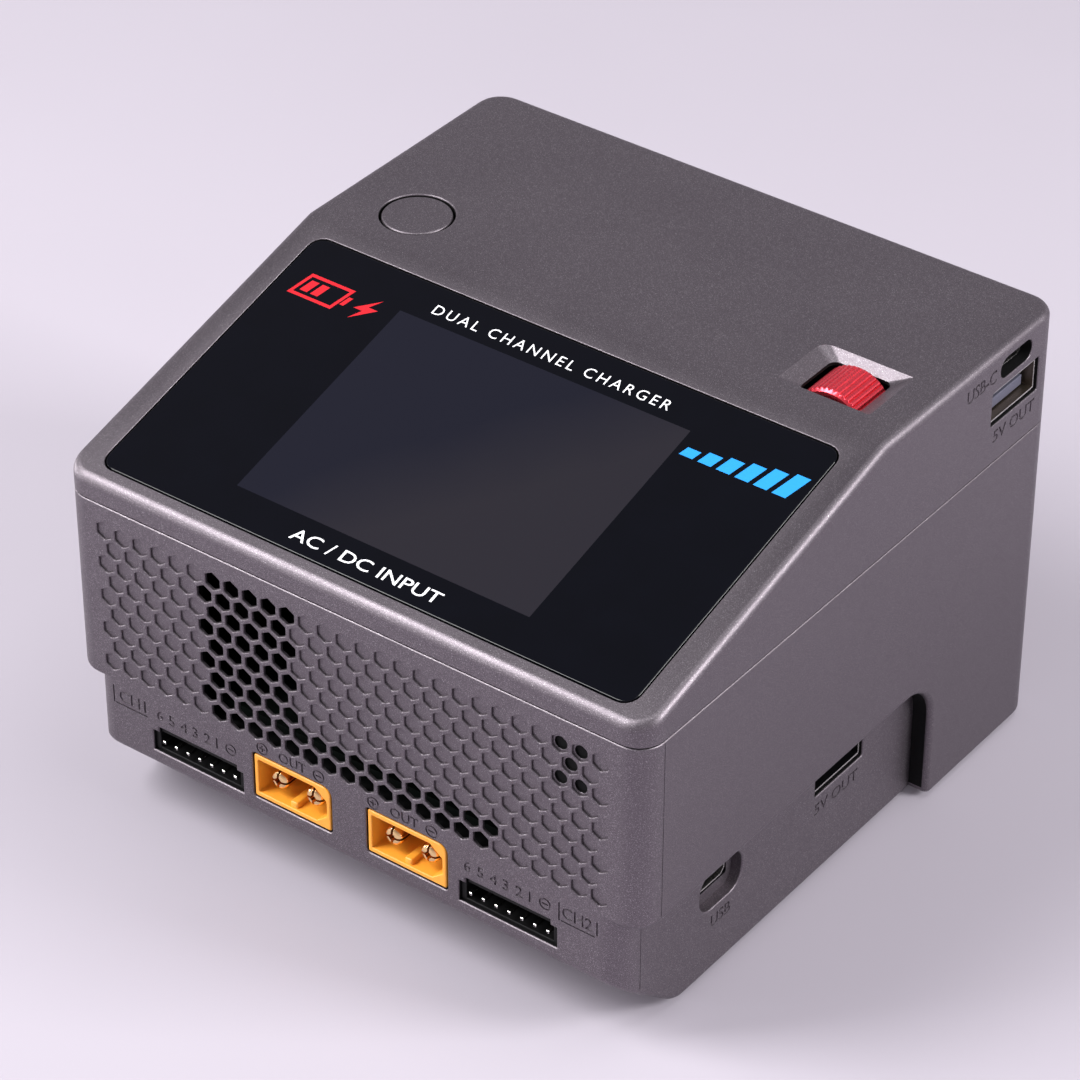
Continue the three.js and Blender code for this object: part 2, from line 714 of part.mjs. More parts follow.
// Hub, shaft and pitched blades.
function fanRotor() {
  const { x, z, front, depth, bore, hub, blades } = FAN;
  const back = front + depth;
  const shaft = prism('y', ring(x, z, 1.5, 12), front + 4, back - 0.6);
  const blade = (i) => {
    const geometry = new THREE.BoxGeometry(1.1, 11, bore - hub);
    geometry.rotateZ(0.7).translate(0, 0, (bore + hub) / 2 - 0.6).rotateY((i * 2 * Math.PI) / blades);
    return toSolid(geometry.translate(x, front + 6.7, z));
  };
  const all = Array.from({ length: blades }, (_, i) => blade(i));
  return join(prism('y', ring(x, z, hub, 24), front + 1, back - 3), shaft, ...all);
}

// Holes that clear the front screw posts.
function postHoles(low) {
  const front = POSTS.filter(([, y]) => y < DEPTH / 2);
  return join(...front.map(([x, y]) => prism('z', ring(x, y, POST.radius + 0.4), low - 1, low + BOARD + 1)));
}

function mainBoard() {
  const low = MAIN_BOARD_Z;
  return cut(prism('z', rectangle(-50, 4, 50, 90, 1), low, low + BOARD), postHoles(low));
}

function supplyBoard() {
  const low = SUPPLY_BOARD_Z;
  return cut(prism('z', rectangle(-54.4, 3.8, 54.4, 80, 2.5, 2.5, 1, 1), low, low + BOARD), postHoles(low));
}

const supplyTop = SUPPLY_BOARD_Z + BOARD + 0.05;
const mainTop = MAIN_BOARD_Z + BOARD + 0.05;

// A closed frame with a middle leg, and the coil around that leg.
function transformerCore() {
  const windows = [-1, 1].map((side) => centred(10 + side * 9.6, supplyTop + 12, 7, 15));
  return prism('y', [centred(10, supplyTop + 12, 34, 24)], 49, 61).subtract(prism('y', windows, 48, 62));
}

function transformerWinding() {
  const coil = withHole(centred(10, 55, 25.4, 25.4, 2), centred(10, 55, 12.8, 12.8, 0.2));
  return prism('z', coil, supplyTop + 5, supplyTop + 19);
}

function capacitor(y) {
  const r = 9;
  const profile = [
    [0, 0], [r, 0], [r, 21.4], [r - 0.7, 22], [r, 22.6], [r, 25.3], [r - 0.7, 26], [0, 26],
  ];
  const geometry = new THREE.LatheGeometry(profile.map(([u, v]) => new THREE.Vector2(u, v)), 20);
  return toSolid(geometry.rotateX(Math.PI / 2).translate(-30, y, supplyTop));
}

// A finned block: fins rise from a base, seen along y.
function heatsink(left, right, low, high, y0, y1, fins) {
  const base = block(left, right, y0, y1, low, low + 2.5);
  const pitch = (right - left - 1.4) / (fins - 1);
  const fin = (i) => block(left + i * pitch, left + i * pitch + 1.4, y0, y1, low + 1, high);
  return join(base, ...Array.from({ length: fins }, (_, i) => fin(i)));
}

function inductor(x) {
  return prism('z', centred(x, 37, 19, 19, 2), mainTop, mainTop + 11);
}

// ---- Fasteners and feet ----

function foot([x, y]) {
  return prism('z', ring(x, y, FOOT_RADIUS, 24), -FOOT_HEIGHT, 0.8);
}

// Pan head at the bottom with a hexagon socket, shank upwards.
function caseScrew([x, y]) {
  const { radius, headRadius, headHeight } = SCREW;
  const low = POST.shelf - headHeight - 0.1;
  return cut(
    join(
      prism('z', ring(x, y, headRadius, 12), low, low + headHeight),
      prism('z', ring(x, y, radius, 10), low + 1, SPLIT + 1),
    ),
    prism('z', ring(x, y, 1.3, 6), low - 1, low + 1.2),
  );
}

// ---- Materials ----

function finish(color, roughness, metalness) {
  return () => new THREE.MeshStandardMaterial({ color, roughness, metalness });
}

const casing = finish(0x6a6468, 0.45, 0.35);
const blackGlass = finish(0x0b0b0e, 0.08, 0);
const screenGrey = finish(0x2b2c31, 0.3, 0);
const circuit = finish(0x1d4a2c, 0.5, 0.1);
const redMetal = finish(0xb01a2a, 0.35, 0.8);
const steel = finish(0xb8b8b4, 0.3, 1);
const gold = finish(0xd9a54a, 0.25, 1);
const orangeNylon = finish(0xf0a020, 0.45, 0);
const blackPlastic = finish(0x151516, 0.5, 0);
const greyTongue = finish(0x8d93a8, 0.5, 0);
const rubber = finish(0x1a1a1a, 0.9, 0);
const ferrite = finish(0x2e2c2b, 0.7, 0.1);
const copper = finish(0xb46a35, 0.4, 0.9);
const sleeve = finish(0x22263c, 0.35, 0.1);
const aluminium = finish(0xa9abad, 0.4, 1);

// ---- Assembly ----

function mesh(name, geometry, material) {
  const made = new THREE.Mesh(geometry, material());
  made.name = name;
  return made;
}

function solidMesh(name, solid, material) {
  return mesh(name, toGeometry(solid), material);
}

function displayGroup() {
  const placed = new THREE.Group();
  placed.position.set(0, 0, FRONT_EDGE);
  placed.rotation.x = slopeAngle;
  placed.add(
    mesh('display_glass', displayGlass(), blackGlass),
    mesh('lcd_module', lcdModule(), screenGrey),
    mesh('display_board', displayBoard(), circuit),
  );
  return placed;
}

// A shell and its two pins, with the plus pin on the left as seen from the mouth.
function connectorGroup(names, x, y, z, turn) {
  const placed = new THREE.Group();
  placed.position.set(x, y, z);
  placed.rotation.z = turn;
  placed.add(solidMesh(names[0], connectorShell(), orangeNylon));
  [-1, 1].forEach((side, i) => {
    const pin = solidMesh(names[i + 1], bulletPin(), gold);
    pin.position.x = (side * OUTPUT.pinGap) / 2;
    placed.add(pin);
  });
  return placed;
}

function frontConnectors() {
  return [-1, 1].flatMap((side, i) => {
    const n = i + 1;
    const x = side * BALANCE.x;
    const names = [`output_shell_${n}`, `output_pin_plus_${n}`, `output_pin_minus_${n}`];
    return [
      connectorGroup(names, side * OUTPUT.x, 0.1, OUTPUT.z, 0),
      solidMesh(`balance_shell_${n}`, balanceShell(x), blackPlastic),
      solidMesh(`balance_pins_${n}`, balancePins(x), steel),
    ];
  });
}

function powerInputs() {
  const pinNames = ['ac_pin_line', 'ac_pin_neutral', 'ac_pin_earth'];
  const dcNames = ['dc_input_shell', 'dc_pin_plus', 'dc_pin_minus'];
  return [
    solidMesh('ac_inlet', acInlet(), blackPlastic),
    ...acPinPlaces().map((place, i) => solidMesh(pinNames[i], acPin(place), steel)),
    connectorGroup(dcNames, DC_INPUT.x, PANEL.face - 0.1, DC_INPUT.z, Math.PI),
  ];
}

const group = new THREE.Group();
group.position.set(0, -DEPTH / 2, FOOT_HEIGHT);
group.add(
  solidMesh('top_cover', topCover(), casing),
  solidMesh('lower_housing', lowerHousing(), casing),
  solidMesh('rear_panel', rearPanel(), casing),
  displayGroup(),
  solidMesh('power_button', powerButton(), casing),
  solidMesh('button_switch', buttonSwitch(), blackPlastic),
  solidMesh('thumb_wheel', thumbWheel(), redMetal),
  solidMesh('wheel_axle', wheelAxle(), steel),
  solidMesh('wheel_cradle', wheelCradle(), blackPlastic),
  solidMesh('wheel_encoder', wheelEncoder(), blackPlastic),
  solidMesh('control_board', controlBoard(), circuit),
  solidMesh('buzzer', buzzer(), blackPlastic),
  ...frontConnectors(),
  solidMesh('usb_a_top_shell', usbAShell(USB_A_TOP), steel),
  solidMesh('usb_a_top_tongue', usbATongue(USB_A_TOP, USB_A_TOP.z - 2.2), greyTongue),
  solidMesh('usb_a_side_shell', usbAShell(USB_A_SIDE), steel),
  solidMesh('usb_a_side_tongue', usbATongue(USB_A_SIDE, USB_A_SIDE.z + 0.1), blackPlastic),
  solidMesh('usb_c_shell', usbCShell(), steel),
  solidMesh('usb_c_tongue', usbCTongue(), blackPlastic),
  solidMesh('usb_board', usbBoard(), circuit),
  solidMesh('micro_usb_shell', microUsbShell(), steel),
  solidMesh('micro_usb_tongue', microUsbTongue(), blackPlastic),
  ...powerInputs(),
  solidMesh('fan_frame', fanFrame(), blackPlastic),
  solidMesh('fan_rotor', fanRotor(), blackPlastic),
  solidMesh('main_board', mainBoard(), circuit),
  solidMesh('power_supply_board', supplyBoard(), circuit),
  solidMesh('transformer_core', transformerCore(), ferrite),
  solidMesh('transformer_winding', transformerWinding(), copper),
  solidMesh('mains_capacitor_1', capacitor(46), sleeve),
  solidMesh('mains_capacitor_2', capacitor(67), sleeve),
  solidMesh('heatsink_1', heatsink(30, 50, supplyTop, 48, 38, 76, 5), aluminium),
  solidMesh('heatsink_2', heatsink(-28, 28, mainTop, 25.5, 54, 84, 9), aluminium),
  solidMesh('inductor_1', inductor(-19), ferrite),
  solidMesh('inductor_2', inductor(19), ferrite),
  ...FEET.map((place, i) => solidMesh(`foot_${i + 1}`, foot(place), rubber)),
  ...POSTS.map((place, i) => solidMesh(`case_screw_${i + 1}`, caseScrew(place), steel)),
);

export default group;
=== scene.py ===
"""A two-channel balance battery charger on a pale studio floor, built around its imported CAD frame.

Shapes are made in casing millimetres: x across, y back from the front face and z up from the
casing's underside. place() moves them into the row frame, in metres.
"""
from math import acos, atan2, cos, hypot, pi, radians, sin, sqrt, tan

import bmesh
import bpy
from mathutils import Matrix, Vector


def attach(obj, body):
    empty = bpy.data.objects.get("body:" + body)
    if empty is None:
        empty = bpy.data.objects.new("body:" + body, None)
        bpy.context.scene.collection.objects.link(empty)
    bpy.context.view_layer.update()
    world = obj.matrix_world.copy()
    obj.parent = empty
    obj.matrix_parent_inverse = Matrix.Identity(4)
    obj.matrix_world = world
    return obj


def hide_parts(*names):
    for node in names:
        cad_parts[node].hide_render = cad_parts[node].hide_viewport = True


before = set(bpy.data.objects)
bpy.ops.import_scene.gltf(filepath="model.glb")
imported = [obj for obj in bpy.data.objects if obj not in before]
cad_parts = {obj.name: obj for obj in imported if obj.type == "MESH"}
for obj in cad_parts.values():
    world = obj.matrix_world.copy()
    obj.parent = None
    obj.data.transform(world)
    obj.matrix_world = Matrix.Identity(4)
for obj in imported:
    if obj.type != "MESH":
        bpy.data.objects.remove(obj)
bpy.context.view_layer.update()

# ---- Casing sizes in millimetres ----
WIDTH, DEPTH, HEIGHT, FOOT = 114.2, 113.2, 80.8, 0.8
SIDE = WIDTH / 2  # the side faces are at x = SIDE and -SIDE
WALL, SPLIT = 2.2, 59.7
FRONT_RADIUS, REAR_RADIUS = 4.6, 5.0
FRONT_EDGE, SLOPE_END = 63.8, 62.3
TOP_ROUND = 1.5
GRIP_HALF, GRIP_TOP, GRIP_END, GRIP_RADIUS = 53.5, 24.7, 80.9, 7.9
CHIN_HEIGHT, CHIN_DEPTH, CHIN_CURVE = 12.0, 14.5, 6.0
HEEL, LOWER_ROUND = 1.4, 1.0
SLOPE = atan2(HEIGHT - FRONT_EDGE, SLOPE_END)
TAN, COS, SIN = tan(SLOPE), cos(SLOPE), sin(SLOPE)

CELL_PITCH, CELL_ROWS, CELL_TOP = 3.755, 9, 54.7
CELL_CORNER = 1.1547 * 1.48  # a cell's corner radius, from the radius of the circle inside it
ROW_PITCH = CELL_PITCH * sqrt(3) / 2
WHEEL = Vector((41.65, 74.05, 74.3))
BUTTON = (-41.9, 72.1)
OUTPUT_X, OUTPUT_Z, BALANCE_X, BALANCE_Z, PIN_PITCH = 11.6, 19.6, 31.4, 17.0, 2.5
POSTS = [(-40, 21.6), (40, 21.6), (-51, 102), (51, 102)]
FEET = [(-42, 34), (42, 34), (-48, 90), (48, 90)]

# Port middles as (y, z), and middles in the front face and the rear panel as (x, z)
USB_A_TOP, USB_C, USB_A_SIDE, MICRO_USB = (100.25, 70.4), (100, 76.8), (59.05, 19.8), (26.1, 16.6)
BUZZER, FAN, AC_INLET, DC_INPUT = (43.2, 51.4), (-21, 31), (30, 43), (30, 18)
PANEL = 112.9  # the rear panel's face
FAN_OPENING, FAN_SCREW = 22.6, 20

# Middles on the display face as (u, v): u across and v up the slope
GLASS, SCREEN_SPOT, SCREEN_SIZE = (0, 31.9), (-0.3, 31.6), (57.2, 42.8)
INK_LEVEL, INK = 0.004, 0.012
PAINTED_SHADE_FROM = 0.55  # how far under the skin the black lining of painted shade starts


# ---- Axes: (u, v) lie in an outline's plane and w runs across it ----
def along_z(u, v, w):
    return (u, v, w)


def along_y(u, v, w):
    return (u, w, v)


def along_x(u, v, w):
    return (w, u, v)


def on_slope(u, v, w):
    """u across, v up the display face from its front edge, w out of it."""
    return (u, v * COS - w * SIN, FRONT_EDGE + v * SIN + w * COS)


# ---- Outlines, anticlockwise lists of (u, v) ----
def arc(cu, cv, radius, start, sweep=90, steps=8):
    angles = (radians(start + sweep * i / steps) for i in range(steps + 1))
    return [(cu + radius * cos(a), cv + radius * sin(a)) for a in angles]


def circle(cu, cv, radius, steps, turn=0.0):
    return arc(cu, cv, radius, turn, 360, steps)[:-1]


def corners(u0, u1, v0, v1):
    return [(u0, v0), (u1, v0), (u1, v1), (u0, v1)]


def rect(cu, cv, width, height, radii, steps=5):
    """Radii from the lower left corner round to the upper left one."""
    r = radii if isinstance(radii, tuple) else [radii] * 4
    a, b = width / 2, height / 2
    return (
        arc(cu - a + r[0], cv - b + r[0], r[0], 180, 90, steps)
        + arc(cu + a - r[1], cv - b + r[1], r[1], 270, 90, steps)
        + arc(cu + a - r[2], cv + b - r[2], r[2], 0, 90, steps)
        + arc(cu - a + r[3], cv + b - r[3], r[3], 90, 90, steps)
    )


def rounded(points, radius, steps=2):
    """A polygon with each corner rounded, kept the same way round."""
    loop = []
    for i, here in enumerate(points):
        here = Vector(here)
        back = (Vector(points[i - 1]) - here).normalized()
        ahead = (Vector(points[(i + 1) % len(points)]) - here).normalized()
        half = acos(max(-1, min(1, back.dot(ahead)))) / 2
        reach = radius / tan(half)
        start, end = here + back * reach, here + ahead * reach
        for k in range(steps + 1):
            t = k / steps
            loop.append(tuple(start * (1 - t) ** 2 + here * 2 * t * (1 - t) + end * t * t))
    return loop


def inset(points, amount):
    """The outline moved in by amount, or out if it is negative."""
    if abs(amount) < 1e-9:
        return list(points)
    moved = []
    count = len(points)
    for i in range(count):
        here = Vector(points[i])
        before, after = here - Vector(points[i - 1]), Vector(points[(i + 1) % count]) - here
        n1 = Vector((-before.y, before.x)).normalized()
        n2 = Vector((-after.y, after.x)).normalized()
        moved.append(tuple(here + (n1 + n2) * (amount / max(0.2, 1 + n1.dot(n2)))))
    return moved


# ---- Blender objects ----
def add_object(name, data):
    made = bpy.data.objects.new(name, data)
    bpy.context.scene.collection.objects.link(made)
    return made


def evaluated_mesh(body):
    return bpy.data.meshes.new_from_object(body.evaluated_get(bpy.context.evaluated_depsgraph_get()))


# ---- Shapes: (vertices, faces) in casing millimetres ----
def loft(rings, low_faces=None, high_faces=None, closed=False):
    """Rings of equally many points joined in order, with a cap or a list of faces at each end."""
    count = len(rings[0])
    vertices = [point for ring in rings for point in ring]
    faces = []
    pairs = len(rings) if closed else len(rings) - 1
    for row in range(pairs):
        a, b = row * count, ((row + 1) % len(rings)) * count
        for i in range(count):
            j = (i + 1) % count
            faces.append((a + i, a + j, b + j, b + i))
    if not closed:
        last = (len(rings) - 1) * count
        for face in low_faces or [range(count)]:
            faces.append(tuple(reversed(face)))
        for face in high_faces or [range(count)]:
            faces.append(tuple(last + i for i in face))
    return vertices, faces


def stack(axis, outline, levels, closed=False):
    """The outline at each (level, inset) pair, joined in order."""
    return loft([[axis(u, v, w) for u, v in inset(outline, into)] for w, into in levels], closed=closed)


def quarter(radius, steps):
    """(depth, inset) pairs of a rounded end, from the end face inwards.

    Read as (inset, drop) pairs, they round an edge from the wall to the face.
    """
    angles = [pi / 2 * i / steps for i in range(steps + 1)]
    return [(radius * (1 - cos(a)), radius * (1 - sin(a))) for a in angles]


def prism(axis, outline, low, high, round_low=0.0, round_high=0.0, steps=3):
    """A prism with rounded ends."""
    levels = [(low, 0.0)]
    if round_low:
        levels = [(low + depth, into) for depth, into in quarter(round_low, steps)]
    if round_high:
        levels += [(high - depth, into) for depth, into in reversed(quarter(round_high, steps))]
    else:
        levels.append((high, 0.0))
    return stack(axis, outline, levels)


def drill(axis, outline, mouth, deep, lip=0.2, steps=3):
    """A cutter that opens at the level mouth with a rounded lip and runs to the level deep."""
    way = 1 if deep > mouth else -1
    levels = [(mouth - way * 1.5, -lip)]
    levels += [(mouth + way * depth, -into) for depth, into in quarter(lip, steps)]
    levels.append((deep, 0.0))
    return stack(axis, outline, levels)


def box(x0, x1, y0, y1, z0, z1):
    return loft([[(u, v, z) for u, v in corners(x0, x1, y0, y1)] for z in (z0, z1)])


def tube(outline, wall, back, front):
    """A hollow sleeve along x with a rounded front edge."""
    edge = 0.08
    bend, start = edge * 0.3, front - edge
    levels = [(back, 0.0), (start, 0.0), (front - bend, bend), (front, edge)]
    levels += [(front, wall - edge), (front - bend, wall - bend), (start, wall), (back, wall)]
    return stack(along_x, outline, levels, closed=True)


def lathe(profile, centre, steps, axis=along_z):
    """A profile of (radius, level) turned about an axis, with a cap at each end."""
    return loft([[axis(u, v, w) for u, v in circle(*centre, r, steps)] for r, w in profile])


def letters(text, axis, left, low, height, level, thickness,
            width=None, weight=0.0, flank=0.0, spacing=1.0):
    """Solid lettering whose lower left corner is at (left, low), from level up by thickness.

    A flank tapers the strokes over that last part of the thickness.
    """
    curve = bpy.data.curves.new("letters", "FONT")
    curve.body = text
    curve.extrude = 0.5
    curve.resolution_u = 3
    curve.space_character = spacing
    taper = 0.022 if flank else 0.0
    curve.bevel_depth = taper
    curve.bevel_resolution = 0
    curve.offset = weight - taper
    made = add_object("letters", curve)
    mesh = evaluated_mesh(made)
    lows = [min(v.co[i] for v in mesh.vertices) for i in range(2)]
    highs = [max(v.co[i] for v in mesh.vertices) for i in range(2)]
    tall = height / (highs[1] - lows[1])
    wide = width / (highs[0] - lows[0]) if width else tall
    points = []
    for v in mesh.vertices:
        across, up = (v.co.x - lows[0]) * wide, (v.co.y - lows[1]) * tall
        rise = (v.co.z + 0.5) * (thickness - flank)
        if flank and v.co.z > 0.5:
            rise = thickness
        points.append(axis(left + across, low + up, level + rise))
    faces = [tuple(face.vertices) for face in mesh.polygons]
    bpy.data.objects.remove(made)
    bpy.data.meshes.remove(mesh)
    return points, faces


def engraved(text, axis, left, low, height, face, width=None):
    """Cutters for lettering sunk into a face that looks along -y or +x."""
    depth, weight, flank = 0.22, 0.012, 0.12
    way = 1 if axis is along_y else -1

    def inward(u, v, w):
        return axis(u, v, face + way * w)

    return letters(text, inward, left, low, height, -1, 1 + depth, width, weight, flank)


# ---- Mesh objects ----
def solid(name, *shapes):
    """One object from shapes that don't touch, with its faces pointing out."""
    vertices, faces = [], []
    for points, polygons in shapes:
        start = len(vertices)
        vertices += points
        faces += [tuple(start + i for i in face) for face in polygons]
    mesh = bpy.data.meshes.new(name)
    mesh.from_pydata(vertices, [], faces)
    work = bmesh.new()
    work.from_mesh(mesh)
    bmesh.ops.remove_doubles(work, verts=work.verts, dist=1e-5)
    bmesh.ops.dissolve_degenerate(work, dist=1e-6, edges=work.edges)
    bmesh.ops.recalc_face_normals(work, faces=work.faces)
    work.to_mesh(mesh)
    work.free()
    return add_object(name, mesh)


def combine(body, shapes, operation="DIFFERENCE"):
    """Cuts shapes that don't touch each other out of a body, or joins them on."""
    tool = solid("tool", *shapes)
    modifier = body.modifiers.new("combine", "BOOLEAN")
    modifier.operation = operation
    modifier.solver = "MANIFOLD"
    modifier.object = tool
    result = evaluated_mesh(body)
    if not result.polygons:
        raise RuntimeError(f"nothing is left of {body.name}")
    old = body.data
    body.modifiers.clear()
    body.data = result
    bpy.data.meshes.remove(old)
    bpy.data.objects.remove(tool)
    return body


def cut(body, *shapes):
    return combine(body, shapes)


def join(body, *shapes):
    return combine(body, shapes, "UNION")


def place(body, materials, node=None, slot=None, rides="case", sharp=38, second=None):
    """Moves a finished body into the row frame, in metres, and gives it its look.

    It stands in for the CAD node, if one is given. The test `second`, given a face's middle and
    normal, picks the faces of the second material.
    """
    mesh = body.data
    mesh.materials.clear()
    for material in materials if isinstance(materials, list) else [materials]:
        mesh.materials.append(material)
    work = bmesh.new()
    work.from_mesh(mesh)
    bmesh.ops.remove_doubles(work, verts=work.verts, dist=2e-5)
    bmesh.ops.dissolve_degenerate(work, dist=1e-5, edges=work.edges)
    if second:
        for face in work.faces:
            face.material_index = int(second(face.calc_center_median(), face.normal))
    flat = 0.006  # radians between faces that are merged
    bmesh.ops.dissolve_limit(
        work, angle_limit=flat, verts=work.verts, edges=work.edges, delimit={"MATERIAL"}
    )
    work.to_mesh(mesh)
    work.free()
    mesh.transform(Matrix.Scale(0.001, 4) @ Matrix.Translation((0, -DEPTH / 2, FOOT)))
    mesh.shade_smooth()
    mesh.set_sharp_from_angle(angle=radians(sharp))
    weighted = body.modifiers.new("weighted", "WEIGHTED_NORMAL")
    weighted.keep_sharp = True
    weighted.weight = 100
    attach(body, rides)
    if node:
        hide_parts(node)


# ---- Materials ----
def new_material(name, **sockets):
    material = bpy.data.materials.new(name)
    material.use_nodes = True
    shader = material.node_tree.nodes["Principled BSDF"]
    for socket, value in sockets.items():
        shader.inputs[socket.replace("_", " ")].default_value = value
    return material, material.node_tree, shader


def noise(tree, scale, detail=2.0):
    """Noise fixed to the object, in cells a metre."""
    coordinates = tree.nodes.new("ShaderNodeTexCoord")
    texture = tree.nodes.new("ShaderNodeTexNoise")
    texture.inputs["Scale"].default_value = scale
    texture.inputs["Detail"].default_value = detail
    tree.links.new(coordinates.outputs["Object"], texture.inputs["Vector"])
    return texture.outputs["Fac"]


def maths(tree, operation, *inputs):
    """A math node fed with numbers or with other nodes' outputs."""
    node = tree.nodes.new("ShaderNodeMath")
    node.operation = operation
    for socket, value in zip(node.inputs, inputs):
        if isinstance(value, float):
            socket.default_value = value
        else:
            tree.links.new(value, socket)
    return node.outputs[0]


def ramp(tree, source, stops):
    node = tree.nodes.new("ShaderNodeValToRGB")
    elements = node.color_ramp.elements
    while len(elements) < len(stops):
        elements.new(0.5)
    for element, (place_at, colour) in zip(elements, stops):
        element.position = place_at
        element.color = (*colour, 1) if isinstance(colour, tuple) else (colour, colour, colour, 1)
    tree.links.new(source, node.inputs["Fac"])
    return node.outputs["Color"]


def spread(tree, field, low, high):
    """Turns noise, which mostly lies in 0.3 to 0.7, into values from low to high."""
    return ramp(tree, field, [(0.3, low), (0.7, high)])


def bump(tree, shader, height, strength, distance):
    node = tree.nodes.new("ShaderNodeBump")
    node.inputs["Strength"].default_value = strength
    node.inputs["Distance"].default_value = distance
    tree.links.new(height, node.inputs["Height"])
    tree.links.new(node.outputs["Normal"], shader.inputs["Normal"])


def drive(tree, shader, tone, gloss):
    tree.links.new(tone, shader.inputs["Base Color"])
    tree.links.new(gloss, shader.inputs["Roughness"])


def shaded(colour, factor):
    return tuple(min(1, c * factor) for c in colour)


def surface(name, colour, roughness, grain=3000, vary=0.06, rough_vary=0.05, relief=0.0,
            metallic=0.0, **more):
    """A surface whose colour, gloss and relief vary finely."""
    material, tree, shader = new_material(name, Metallic=metallic, **more)
    field = noise(tree, grain)
    slow = noise(tree, grain / 60, 3)
    mixed = maths(tree, "MULTIPLY", maths(tree, "ADD", field, slow), 0.5)
    tone = spread(tree, mixed, shaded(colour, 1 - vary), shaded(colour, 1 + vary))
    drive(tree, shader, tone, spread(tree, mixed, roughness - rough_vary, roughness + rough_vary))
    if relief:
        bump(tree, shader, field, 1.0, relief)
    return material


def casing_material():
    """Satin metallic-grey paint: a fine orange peel with tiny bright flakes in it."""
    material, tree, shader = new_material("casing", Metallic=0.93, Specular_IOR_Level=0.5)
    fine = noise(tree, 5200)
    slow = noise(tree, 60, 3)
    flakes = ramp(tree, noise(tree, 9000, 1), [(0.61, 0.0), (0.74, 1.0)])
    base = ramp(tree, fine, [(0.32, (0.124, 0.107, 0.121)), (0.68, (0.162, 0.141, 0.158))])
    glint = tree.nodes.new("ShaderNodeMixRGB")
    glint.inputs["Color2"].default_value = (0.46, 0.43, 0.455, 1)
    tree.links.new(flakes, glint.inputs["Fac"])
    tree.links.new(base, glint.inputs["Color1"])
    drive(tree, shader, glint.outputs["Color"], spread(tree, slow, 0.44, 0.49))
    bump(tree, shader, fine, 0.65, 0.00003)
    return material


def screen_with_painted_reflection():
    """The panel behind the lens, with a painted reflection: dark grey, with a dimmer blue part beyond a
    soft slanting edge.
    """
    material, tree, shader = new_material("screen", Roughness=0.06, Specular_IOR_Level=0.25)
    coordinates = tree.nodes.new("ShaderNodeTexCoord")
    across = tree.nodes.new("ShaderNodeVectorMath")
    across.operation = "DOT_PRODUCT"
    across.inputs[1].default_value = (-24.0, 20.0, 0.0)
    tree.links.new(coordinates.outputs["Object"], across.inputs[0])
    wavy_reflection_edge = maths(tree, "MULTIPLY_ADD", noise(tree, 40), 0.25, across.outputs["Value"])
    reflection_place = maths(tree, "ADD", wavy_reflection_edge, 1.15)
    # painted reflection: lighter grey on one side of the wavy slanting edge, dimmer blue on the other
    tone = ramp(tree, reflection_place, [(0.45, (0.0150, 0.0136, 0.0180)), (0.95, (0.0078, 0.0080, 0.0140))])
    tree.links.new(tone, shader.inputs["Base Color"])
    return material


def red_anodised():
    material, tree, shader = new_material("red_anodised", Metallic=0.85)
    field = noise(tree, 3500)
    tone = spread(tree, field, (0.78, 0.055, 0.078), (0.86, 0.07, 0.095))
    drive(tree, shader, tone, spread(tree, field, 0.25, 0.32))
    bump(tree, shader, field, 0.3, 0.00001)
    return material


def lens_material(name, colour):
    material, tree, shader = new_material(
        name, Specular_IOR_Level=0.25, Coat_Weight=0.05, Coat_Roughness=0.02
    )
    field = noise(tree, 140)
    tone = spread(tree, field, shaded(colour, 0.9), shaded(colour, 1.1))
    drive(tree, shader, tone, spread(tree, field, 0.05, 0.08))
    return material


CASING = casing_material()
RED = red_anodised()
LENS = lens_material("lens", (0.0010, 0.0012, 0.0028))
# the screen material carries a painted reflection
SCREEN_PAINTED_REFLECTION = screen_with_painted_reflection()
# Painted shade: a black lining for the casing's inside faces and the arch's wall, where they lie in
# shade
PAINTED_SHADE_LINING = surface("painted_shade_lining", (0.0035, 0.0035, 0.0038), 0.7, relief=0.00002, Specular_IOR_Level=0.15)
SOCKET_BLACK = surface("socket_black", (0.0035, 0.0035, 0.0038), 0.55, Specular_IOR_Level=0.2)
PLATED = surface("plated_inside", (0.26, 0.215, 0.17), 0.4, metallic=1.0)
PIN_STEEL = surface("pin_plating", (0.55, 0.54, 0.52), 0.2, metallic=1.0)
WHITE_INK = surface("white_ink", (0.8, 0.8, 0.82), 0.3, vary=0.03)
RED_INK = surface("red_ink", (0.55, 0.012, 0.02), 0.3, vary=0.05)
BLUE_INK = surface("blue_ink", (0.02, 0.28, 0.72), 0.3, vary=0.05)
ORANGE = surface("orange_nylon", (0.86, 0.36, 0.035), 0.36, vary=0.05, relief=0.000012,
                 Subsurface_Weight=0.08, Subsurface_Radius=(0.002, 0.001, 0.0004))
GOLD = surface("gold_contact", (0.84, 0.56, 0.27), 0.2, metallic=1.0)
BLACK = surface("black_plastic", (0.012, 0.012, 0.013), 0.42, relief=0.00001)
STEEL = surface("steel", (0.62, 0.61, 0.58), 0.24, metallic=1.0)
DARK_STEEL = surface("dark_steel", (0.05, 0.05, 0.055), 0.4, metallic=1.0)
GREY_PLASTIC = surface("grey_plastic", (0.1, 0.1, 0.14), 0.5, vary=0.2)
RUBBER = surface("rubber", (0.016, 0.016, 0.016), 0.75, relief=0.00003)
CIRCUIT = surface("circuit_board", (0.003, 0.0055, 0.004), 0.5, 900, 0.3, Specular_IOR_Level=0.2)
FERRITE = surface("ferrite", (0.03, 0.028, 0.027), 0.6, relief=0.00002)
COPPER = surface("copper_coil", (0.55, 0.2, 0.07), 0.35, metallic=0.9)
SLEEVE = surface("capacitor_sleeve", (0.02, 0.025, 0.07), 0.3)
ALUMINIUM = surface("aluminium", (0.58, 0.59, 0.6), 0.38, metallic=1.0)


